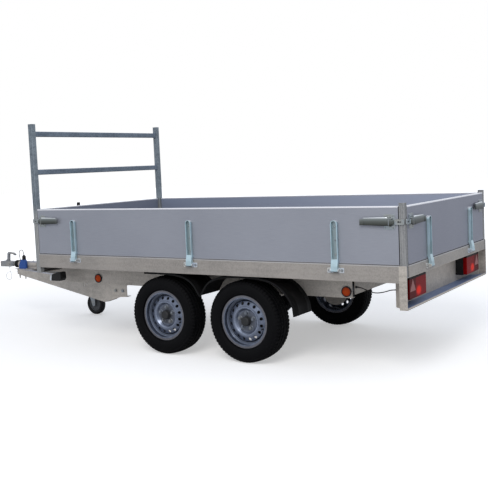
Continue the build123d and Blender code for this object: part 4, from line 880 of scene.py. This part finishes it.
for row, along in WHEELS.items():
    for side, sign in SIDES.items():
        wheel = f"{row}_{side}"
        outward = np.array((0, sign, 0))
        middle = station(along, sign * DISC, TYRE_RADIUS)
        nuts = Shape()
        for number in range(5):
            spot = middle + NUT_CIRCLE * ray(90 + 72 * number)
            nuts.add(turned(SEAT, spot, outward)).add(turned(NUT, spot, outward))
        nuts.piece(f"nuts_{wheel}", nut_steel, f"wheel_{wheel}", "zinc_plate")
        cap = Shape().add(turned(CAP, middle, outward, 40))
        cap.add(hoop(COLLAR, middle, outward, 40), closed=True)
        cap.piece(f"grease_cap_{wheel}", drum_black, f"wheel_{wheel}", "hub_black")
        lean = ray(VALVE_TURN)
        root = middle + VALVE_CIRCLE * lean - outward * 0.004
        valve = Shape().add(turned(VALVE, root, outward - 0.12 * lean, 16))
        valve.piece(f"valve_{wheel}", soft_rubber, f"wheel_{wheel}", "soft_rubber")
print("nut stands", NUT[-1][1], "mm proud")

# %% [markdown]
# ## Mudguards
# Tandem mudguards are one long black moulding: flat over each wheel, dipping to a point between
# the wheels, with a stiffening lip along the outer edge and two pressed ribs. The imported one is
# straight between its corners. Here the same outline is a path whose corners are cut off three
# times, a quarter of the way along each side, which rounds them; the section is carried along it.

# %% Mudguards
def corners_cut(points, times=3, closed=False):
    """A path with its corners rounded: every pass puts points at 1/4 and 3/4 of each side."""
    points = np.array(points, float)
    for _ in range(times):
        ahead = np.roll(points, -1, 0)
        cut = np.stack([0.75 * points + 0.25 * ahead, 0.25 * points + 0.75 * ahead], 1)
        cut = cut.reshape(-1, points.shape[1])
        points = cut if closed else np.concatenate([points[:1], cut[:-2], points[-1:]])
    return points


GUARD_PATH = [(788, 352.5), (798, 441), (903, 561.5), (1059, 600.8), (1331, 600.8), (1472.5, 561.5),
              (1542, 457), (1545, 454), (1548, 457), (1617.5, 561.5), (1759, 600.8), (2040, 600.8)]
GUARD_SECTION = [(115, -11), (115, 1.5), (113.5, 2.2), (74, 2.2), (70, 4.2), (56, 4.2), (52, 2.2),
                 (-52, 2.2), (-56, 4.2), (-70, 4.2), (-74, 2.2), (-115, 2.2), (-115, -1.8),
                 (111.6, -1.8), (111.6, -11)]
guard_run = [station(along, 660, z) for along, z in corners_cut(GUARD_PATH)]
guard_rings = carried(GUARD_SECTION, guard_run)
guards = Shape().add(guard_rings).add(flip(guard_rings))
guards.piece("mudguard_mouldings", guard_plastic, "chassis", "black_plastic", smooth=50,
             replaces=["mudguards"])
print("guards have", len(guard_run), "rings a side")

# %% [markdown]
# ## Edges of the bed
# Hinges, straps and latches repeat along all four edges of the bed, so a spot on them is written
# the same way everywhere: along the edge, outwards from the frame's face, and up. Each edge knows
# how to turn those three into a place, and which way is outwards.

# %% Bed edges
BED_HALF, BED_LENGTH, HINGE_Z, LATCH_Z = 801, 3143, 674, 976
EDGES = {
    "left_side": (lambda along, out, z: station(along, BED_HALF + out, z), (0, 1, 0)),
    "right_side": (lambda along, out, z: station(along, -BED_HALF - out, z), (0, -1, 0)),
    "tailgate": (lambda along, out, z: station(-out, along, z), (-1, 0, 0)),
    "headboard": (lambda along, out, z: station(BED_LENGTH + out, along, z), (1, 0, 0)),
}
STRAPS = {"left_side": (465, 1590, 2700), "right_side": (465, 1590, 2700),
          "tailgate": (-420, 420), "headboard": (-420, 420)}


def latches(edge):
    """For each latch of an edge, a function from its own distance, inwards from the corner."""
    ends = (0, BED_LENGTH) if edge.endswith("side") else (-BED_HALF, BED_HALF)
    return [lambda near, start=ends[0]: start + near, lambda near, start=ends[1]: start - near]


print("straps:", sum(len(spots) for spots in STRAPS.values()), "on", len(EDGES), "edges")

# %% [markdown]
# ## Rivets, hinge bolts and latch levers
# Three rivets hold each strap to its board and two bolts hold each hinge bracket to the frame. A
# latch has a plate with four small rivets, and a folded lever that turns on a pin. The lever's
# shell is a rounded rectangle carried along the board, its width and depth changing on the way:
# narrow at the pin, wide behind it, and tapering to the handle's end.

# %% Rivets, bolts and levers
RIVET = [(6.0, -1), (6.4, 0.8), (5.4, 2.6), (3.2, 3.8), (0.4, 4.2)]
SMALL_RIVET = [(4.4, -1), (4.6, 0.5), (3.8, 1.8), (2.0, 2.6), (0.3, 2.8)]
BOLT = [(9.5, -1), (9.5, 1.4), (9.0, 1.8), (7.8, 1.9, 1), (7.8, 6.2, 1), (6.8, 7.2), (0.5, 7.4)]
PIN = [(3.4, -30), (4.6, -29), (4.6, 29), (3.4, 30)]
# the lever's shell: distance from the corner, middle outwards, depth, middle's height, tallness
SHELL = [(112, 8.5, 8, 978, 44), (114, 9, 12, 978.5, 51), (118, 9.5, 13.6, 979, 54),
         (240, 10.0, 12, 979.5, 46), (262, 10.5, 11, 979.5, 44), (266, 10.5, 8, 979.5, 40)]
STRAP_RIVETS, BRACKET_BOLTS = (772, 862, 946), (-44, 44)
PLATE_RIVETS = ((76, 940), (128, 940), (76, 1012), (128, 1012))
LEVER_PIN = 101  # distance of the lever's pin from the corner

for edge, (place, outward) in EDGES.items():
    panel = f"{edge}_panel"
    fixed, moving, levers = Shape(), Shape(), Shape()
    for along in STRAPS[edge]:
        for z in STRAP_RIVETS:
            moving.add(turned(RIVET, place(along, -2.5, z), outward))
        for offset in BRACKET_BOLTS:
            fixed.add(turned(BOLT, place(along + offset, 4, HINGE_Z), outward))
    for spot_along in latches(edge):
        for near, z in PLATE_RIVETS:
            moving.add(turned(SMALL_RIVET, place(spot_along(near), -3, z), outward, 16))
        moving.add(turned(PIN, place(spot_along(LEVER_PIN), 11, LATCH_Z), (0, 0, 1), 16))
        rows = SHELL if spot_along(1) > spot_along(0) else SHELL[::-1]
        sections = [rounded(deep, tall, 2.6) for _, _, deep, _, tall in rows]
        run = [place(spot_along(near), out, z) for near, out, _, z, _ in rows]
        levers.add(carried(sections, run))
    levers.piece(f"{edge}_levers", latch_zinc, panel, "zinc_plate", smooth=12)
    moving.piece(f"{edge}_rivets", bolt_zinc, panel, "zinc_plate")
    fixed.piece(f"{edge}_hinge_bolts", bolt_zinc, "chassis", "zinc_plate")
print("a lever's shell has", len(SHELL), "rings")

# %% [markdown]
# ## Board end caps
# The boards are hollow, so a grey plastic plug closes each end. It is a rounded rectangle carried
# a few millimetres, seated in the end of the board.

# %% End caps
BOARD_MIDDLE = -16.5, (718 + 1070) / 2  # middle of a board's thickness, outwards, and of its height
ENDS = {"left_side": (47, 3092), "right_side": (47, 3092), "tailgate": (-758, 758),
        "headboard": (-750, 750)}


def end_plug(edge, along, inwards):
    """A cap on one end of an edge's board, its outer face 1.2 mm beyond the board's end."""
    place, _ = EDGES[edge]
    run = [place(along + step * inwards, *BOARD_MIDDLE) for step in (-1.2, -0.6, 2)]
    return carried([rounded(19.6, 344, 3), rounded(21.2, 346, 3), rounded(21.2, 346, 3)], run)


for edge, (first, last) in ENDS.items():
    caps = Shape().add(end_plug(edge, first, 1)).add(end_plug(edge, last, -1))
    caps.piece(f"{edge}_end_caps", end_cap, f"{edge}_panel", "black_plastic")
print("end caps:", 2 * len(ENDS))

# %% [markdown]
# ## Bolts of the chassis and the deck
# The drawbar legs are bolted to the chassis members, the coupling to the legs, and the deck is
# screwed to the cross members. Every spot gets the same ring stack, scaled. Grease nipples stand
# on the coupling, and a tapered gland grips each lead where it leaves a housing.

# %% Chassis fixings
def scaled(profile, factor):
    return [(row[0] * factor, row[1] * factor, *row[2:]) for row in profile]


NIPPLE = [(4.4, -2), (4.4, 2), (2.4, 3), (2.2, 6), (3.2, 7.6), (2.6, 9.6), (0.4, 10.4)]
SCREW = [(5.6, -1), (5.6, 0.3), (4.8, 0.9), (0.4, 1.0)]
GLAND = [(9.5, -1), (9.5, 2), (8.6, 2.2, 1), (8.6, 7, 1), (6.0, 8.6), (5.4, 10), (3.7, 23),
         (3.3, 23.6)]

heavy = Shape()
for side, sign in SIDES.items():
    for along in (2460, 2533):
        heavy.add(turned(scaled(BOLT, 1.45), station(along, sign * 545, 408), (0, sign, 0)))
    for along in (4326, 4358):
        heavy.add(turned(BOLT, station(along, sign * 26.6, 497), (0, sign, 0)))
    for along in (4008, 4082):
        heavy.add(turned(BOLT, station(along, sign * 58, 461), (0, 0, 1)))
for along in (4056, 4160):
    heavy.add(turned(NIPPLE, station(along, 0, 529.6), (0, 0, 1), 16))
heavy.piece("chassis_bolts", bolt_zinc, "chassis", "zinc_plate")

screws = Shape()
for along in (30, 582, 1072, 1570, 2072, 2622, 3110):
    for y in (-700, -350, 0, 350, 700):
        screws.add(turned(SCREW, station(along, y, 709), (0, 0, 1), 16))
screws.piece("deck_screws", bolt_zinc, "chassis", "zinc_plate")

glands = Shape().add(turned(GLAND, station(109, 668, 546), (1, 0, 0)))
glands.add(turned(GLAND, station(480, 490, 520), (-1, 0, 0)))
glands.add(turned(scaled(GLAND, 0.85), station(4210, 22, 527.5), (0, 0, 1)))
glands.piece("cable_glands", lamp_body, "chassis", "black_plastic")
print("chassis fixings:", heavy.count, "points")

# %% [markdown]
# ## Lamps and reflectors
# A trailer must carry triangles at the back, a white front marker and amber side reflectors. The
# triangle and the marker's clear end are flat slabs of their own outlines, and each side
# reflector is a shallow dome in a rubber ring. The ring is turned like a bolt, except that its
# profile comes back down on the inside.

# %% Lamp fittings
def slab(outline, low, high, axis, edge=0.8):
    """Rings of a flat plate: `outline` is an anticlockwise array of points, moved along `axis` from
    `low` to `high` millimetres and drawn in by `edge` at the top."""
    inwards = outline.mean(0) - outline
    inwards /= np.linalg.norm(inwards, axis=1)[:, None]
    axis = np.asarray(axis, float)
    steps = ((low, 0.0), (high - edge, 0.0), (high, edge))
    return np.stack([outline + axis * step / 1000 + inwards * draw / 1000 for step, draw in steps])


BEZEL = [(35.5, -6), (35.5, 1.4), (34.0, 3.0), (31.0, 3.0), (29.6, 1.6), (29.4, -1)]
DOME = [(29.2, -1), (29.0, 0.4), (24, 1.6), (13, 2.5), (0.5, 2.8)]
MARKER_END = [(3084, 535.8), (3097, 532.8), (3113.5, 504), (3105.2, 481), (3092, 481.3)]
TRIANGLE = np.array([(-46, -33), (46, -33), (0, 43)])

bezels, domes, triangles, markers = Shape(), Shape(), Shape(), Shape()
for sign in SIDES.values():
    outward = (0, sign, 0)
    for along in (520, 2710):
        spot = station(along, sign * 553, 497)
        bezels.add(turned(BEZEL, spot, outward, 40))
        domes.add(turned(DOME, spot, outward, 40))
    corners = np.array([station(25, y, z) for y, z in TRIANGLE + (sign * 646, 573)])
    triangles.add(slab(corners[::-1], -0.5, 1.4, (-1, 0, 0)))
    end = corners_cut(MARKER_END, 2, closed=True)
    end = np.array([station(along, sign * 631, z) for along, z in end])
    markers.add(slab(end[::sign], 0, 61.2, outward, 3.0))
bezels.piece("reflector_bezels", lamp_body, "chassis", "black_plastic")
domes.piece("reflector_domes", amber_lens, "chassis", "amber_reflector")
triangles.piece("lamp_triangles", reflex_lens, "chassis", "red_lens")
markers.piece("marker_lenses", clear_lens, "chassis", "red_lens")
print("lamp fittings:", bezels.count + domes.count, "points in reflectors")

# %% [markdown]
# ## Jack wheel
# The jockey wheel has a solid rubber tyre on a pressed disc with a bored hub. Both are one closed
# section carried round the axle, so the last ring joins the first.

# %% Jack wheel
JACK_Y = -300
WHEEL_SPOT = station(3562, JACK_Y, 100)
RUBBER_SIDE = [(20, 66), (27, 82), (25, 92), (18, 98), (8, 100)]
DISC_SIDE = [(26.4, 7), (26.4, 14), (22, 16), (13, 20), (8, 34), (10, 56), (18, 61), (20.5, 64),
             (17, 67)]


def both_sides(rows):
    """A closed section from its +axis half: the same rows mirrored complete it."""
    return [*rows, *((-along, radius) for along, radius in reversed(rows))]


jack_tyre = Shape().add(hoop(both_sides(RUBBER_SIDE), WHEEL_SPOT, (0, 1, 0)), closed=True)
jack_tyre.piece("jack_tyre", soft_rubber, "jack_roller", "jack_tyre", smooth=50,
                replaces=["jack_wheel"])
jack_disc = Shape().add(hoop(both_sides(DISC_SIDE), WHEEL_SPOT, (0, 1, 0), 48), closed=True)
jack_disc.piece("jack_disc", lever_grey, "jack_roller", "jack_tyre")
print("jack tyre has", len(jack_tyre.faces), "faces")

# %% [markdown]
# ## Grips and the clamp's handle
# The jack's crank has a ribbed grip, its clamp a T-handle on a screw, and the handbrake lever a
# rubber sleeve that swells in the hand. The crank's ribs are a sine on the radius of the grip.

# %% Grips and clamp handle
steps = np.linspace(0, 1, 61)
ribs = 15.4 + 0.9 * np.sin(steps * 2 * np.pi * 11) - 1.5 * (steps - 0.5) ** 2
ends = [(11.0, 987.0), (14.6, 987.6)], [(14.4, 1065.6), (11.0, 1066.0)]
grip = [*ends[0], *zip(ribs, 988.5 + 76 * steps), *ends[1]]
crank_grip = Shape().add(turned(grip, station(3720, JACK_Y, 0), (0, 0, 1)))
crank_grip.piece("crank_grip", soft_rubber, "chassis", "soft_rubber")

screw = [(9, 0), (9, 6), (5, 6.2), (5, 36), (7.4, 37), (7.4, 48), (5, 49.5)]
bar = [(3, -37), (5.6, -35), (5.6, -29), (3.8, -27), (3.8, 27), (5.6, 29), (5.6, 35), (3, 37)]
clamp_bar = Shape().add(turned(screw, station(3600, -328, 420), (0, -1, 0)))
clamp_bar.add(turned(bar, station(3600, -370, 420), (0.35, 0, 1)))
clamp_bar.piece("clamp_bar", jack_zinc, "chassis", "jack_zinc")

swell = [(3590, 7), (3591.5, 9), (3596, 10), (3640, 9.4), (3690, 10), (3700, 10), (3704, 8)]
sections = [rounded(2 * half, 2.9 * half, 0.8 * half) for _, half in swell]
lever_grip = Shape().add(carried(sections, [station(along, -50, 521) for along, _ in swell]))
lever_grip.piece("handbrake_grip", soft_rubber, "chassis", "soft_rubber")
print("the crank's grip has", len(grip), "rings")

# %% [markdown]
# ## Welds
# The rack's rails are welded all round to the posts, and each weld shows as a small rippled bead.
# The bead is a round section carried round the rail's outline, with a sine on its size for the
# ripples.

# %% Welds
RIPPLE = 2.1  # turn of the ripple's sine from one spot to the next


def weld(corners, size=4.2, count=24):
    """A closed bead round `corners`, `count` spots to a side, each a little larger or smaller than
    the last: radius = size * (0.5 + 0.07 * sin(spot * RIPPLE))."""
    corners = np.array(corners, float)
    share = np.linspace(0, 1, count, endpoint=False)[:, None]
    sides = zip(corners, np.roll(corners, -1, 0))
    path = np.concatenate([a + (b - a) * share for a, b in sides])
    ahead = np.roll(path, -1, 0) - np.roll(path, 1, 0)
    ahead /= np.linalg.norm(ahead, axis=1)[:, None]
    aside = np.cross(unit(np.cross(corners[1] - corners[0], corners[2] - corners[1])), ahead)
    angle = np.linspace(0, 2 * np.pi, 8, endpoint=False)
    radius = size * (0.5 + 0.07 * np.sin(np.arange(len(path)) * RIPPLE)) / 1000
    circle = spokes(angle, aside[:, None], np.cross(ahead, aside)[:, None])
    return path[:, None] + radius[:, None, None] * circle


CORNERS = ((-15, -21), (15, -21), (15, 21), (-15, 21))
beads = Shape()
for z in (1364, 1667):
    for y in (-755, 755):
        outline = [station(3118 + along, y, z + height) for along, height in CORNERS]
        beads.add(weld(outline), closed=True)
beads.piece("rack_welds", rack_steel, "chassis", "post_steel")
print("welds have", beads.count, "points")

# %% [markdown]
# ## Plug and cords
# The road plug hangs parked in its blue holder, its lead looping up from the gland on the
# coupling. A thin wire rope with crimped ferrules pulls the brake on if the coupling lets go, and
# a rubber lead hangs from the chassis to the lamp beam. Each cord is one NURBS curve with a round
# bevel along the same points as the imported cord: a mesh tube would need its own frames, and a
# curve stays a single smooth line.

# %% Cord routes
steel_rope = zinc("steel_rope", tint(120, 124, 128), tint(150, 152, 152), 0.6, 0.35)
LEAD = [(4210, 22, 528), (4210, 22, 547), (4213, 23, 566), (4217, 25, 586), (4214, 28, 606),
        (4202, 32, 625), (4184, 36, 637), (4161, 40, 638), (4141, 44, 628), (4130, 46, 610),
        (4128, 47, 592)]
ROPE = [(4376, 12, 470), (4376, 12, 448), (4373, 12, 424), (4362, 12, 401), (4354, 12, 376),
        (4364, 13, 350), (4390, 14, 337), (4417, 15, 348), (4430, 16, 373), (4420, 17, 399),
        (4396, 18, 414), (4368, 19, 419), (4338, 20, 417), (4303, 20, 418), (4262, 20, 424),
        (4220, 20, 424)]
LAMP_LEAD = [(480, 490, 520), (446, 490, 520), (406, 504, 510), (364, 532, 503), (322, 562, 502),
             (280, 592, 507), (238, 620, 517), (196, 645, 530), (152, 668, 546), (109, 668, 546)]
CORDS = {
    "plug_lead": (LEAD, 0.00325, 0.207, soft_rubber, "soft_rubber", "plug", "loose"),
    "breakaway_cable": (ROPE, 0.0015, 0.438, steel_rope, "steel_cable", "object", "hanging"),
    "lamp_lead": (LAMP_LEAD, 0.00325, 0.427, soft_rubber, "soft_rubber", "object", "hanging"),
}
print("routes of", [len(entry[0]) for entry in CORDS.values()], "points")

# %% [markdown]
# ## The plug's sleeve and the rope's ferrules
# The plug has a ribbed sleeve to grip and a cap that narrows to the lead. Each end of the rope is
# held by a crimped ferrule. All are ring stacks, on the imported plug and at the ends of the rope.

# %% Sleeve and ferrules
plug_ribs = [(17.5 + 0.5 * (row % 2), 551 + row * 1.6) for row in range(12)]
SLEEVE = [(16.6, 549.5), *plug_ribs, (16.6, 571)]
SLEEVE_CAP = [(16.9, 574), (17.6, 575.5), (17.6, 579), (15, 583.5), (11, 585), (9.6, 588),
              (8.6, 592)]
PLUG_SPOT = station(4128, 47, 0)
plug_sleeve = Shape().add(turned(SLEEVE, PLUG_SPOT, (0, 0, 1), 36))
plug_sleeve.add(turned(SLEEVE_CAP, PLUG_SPOT, (0, 0, 1), 36))
sleeve_piece = plug_sleeve.piece("plug_sleeve", lamp_body, "chassis", "soft_rubber")

FERRULE = [(2.4, -1), (3.1, 0), (3.1, 14), (2.4, 15)]
ferrules = Shape().add(turned(FERRULE, station(4376, 12, 469), (0, 0, -1), 16))
ferrules.add(turned(FERRULE, station(4221, 20, 424), (1, 0, 0), 16))
ferrule_piece = ferrules.piece("rope_ferrules", bolt_zinc, "chassis", "zinc_plate")
print("the sleeve has", len(plug_ribs), "rows of ribs")

# %% [markdown]
# ## Cords
# The curve's order is set after its points are in, because before that it stays at straight runs.

# %% Cords
def cord(name, route, radius, material):
    """A round NURBS curve whose control points are the route's."""
    data = bpy.data.curves.new(name, "CURVE")
    data.dimensions = "3D"
    data.bevel_depth, data.bevel_resolution, data.use_fill_caps = radius, 4, True
    line = data.splines.new("NURBS")
    line.points.add(len(route) - 1)
    line.points.foreach_set("co", np.array([(*station(*point), 1.0) for point in route]).ravel())
    line.order_u, line.use_endpoint_u, line.resolution_u = 3, True, 12
    piece = bpy.data.objects.new(name, data)
    bpy.context.scene.collection.objects.link(piece)
    data.materials.append(material)
    return piece


for name, (route, radius, length, material, slot, end, lay) in CORDS.items():
    piece = cord(f"{name}_line", route, radius, material)
    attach(piece, "chassis")
    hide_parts(name)
    tuple(station(*route[0]))
print("cords:", {name: entry[2] for name, entry in CORDS.items()})
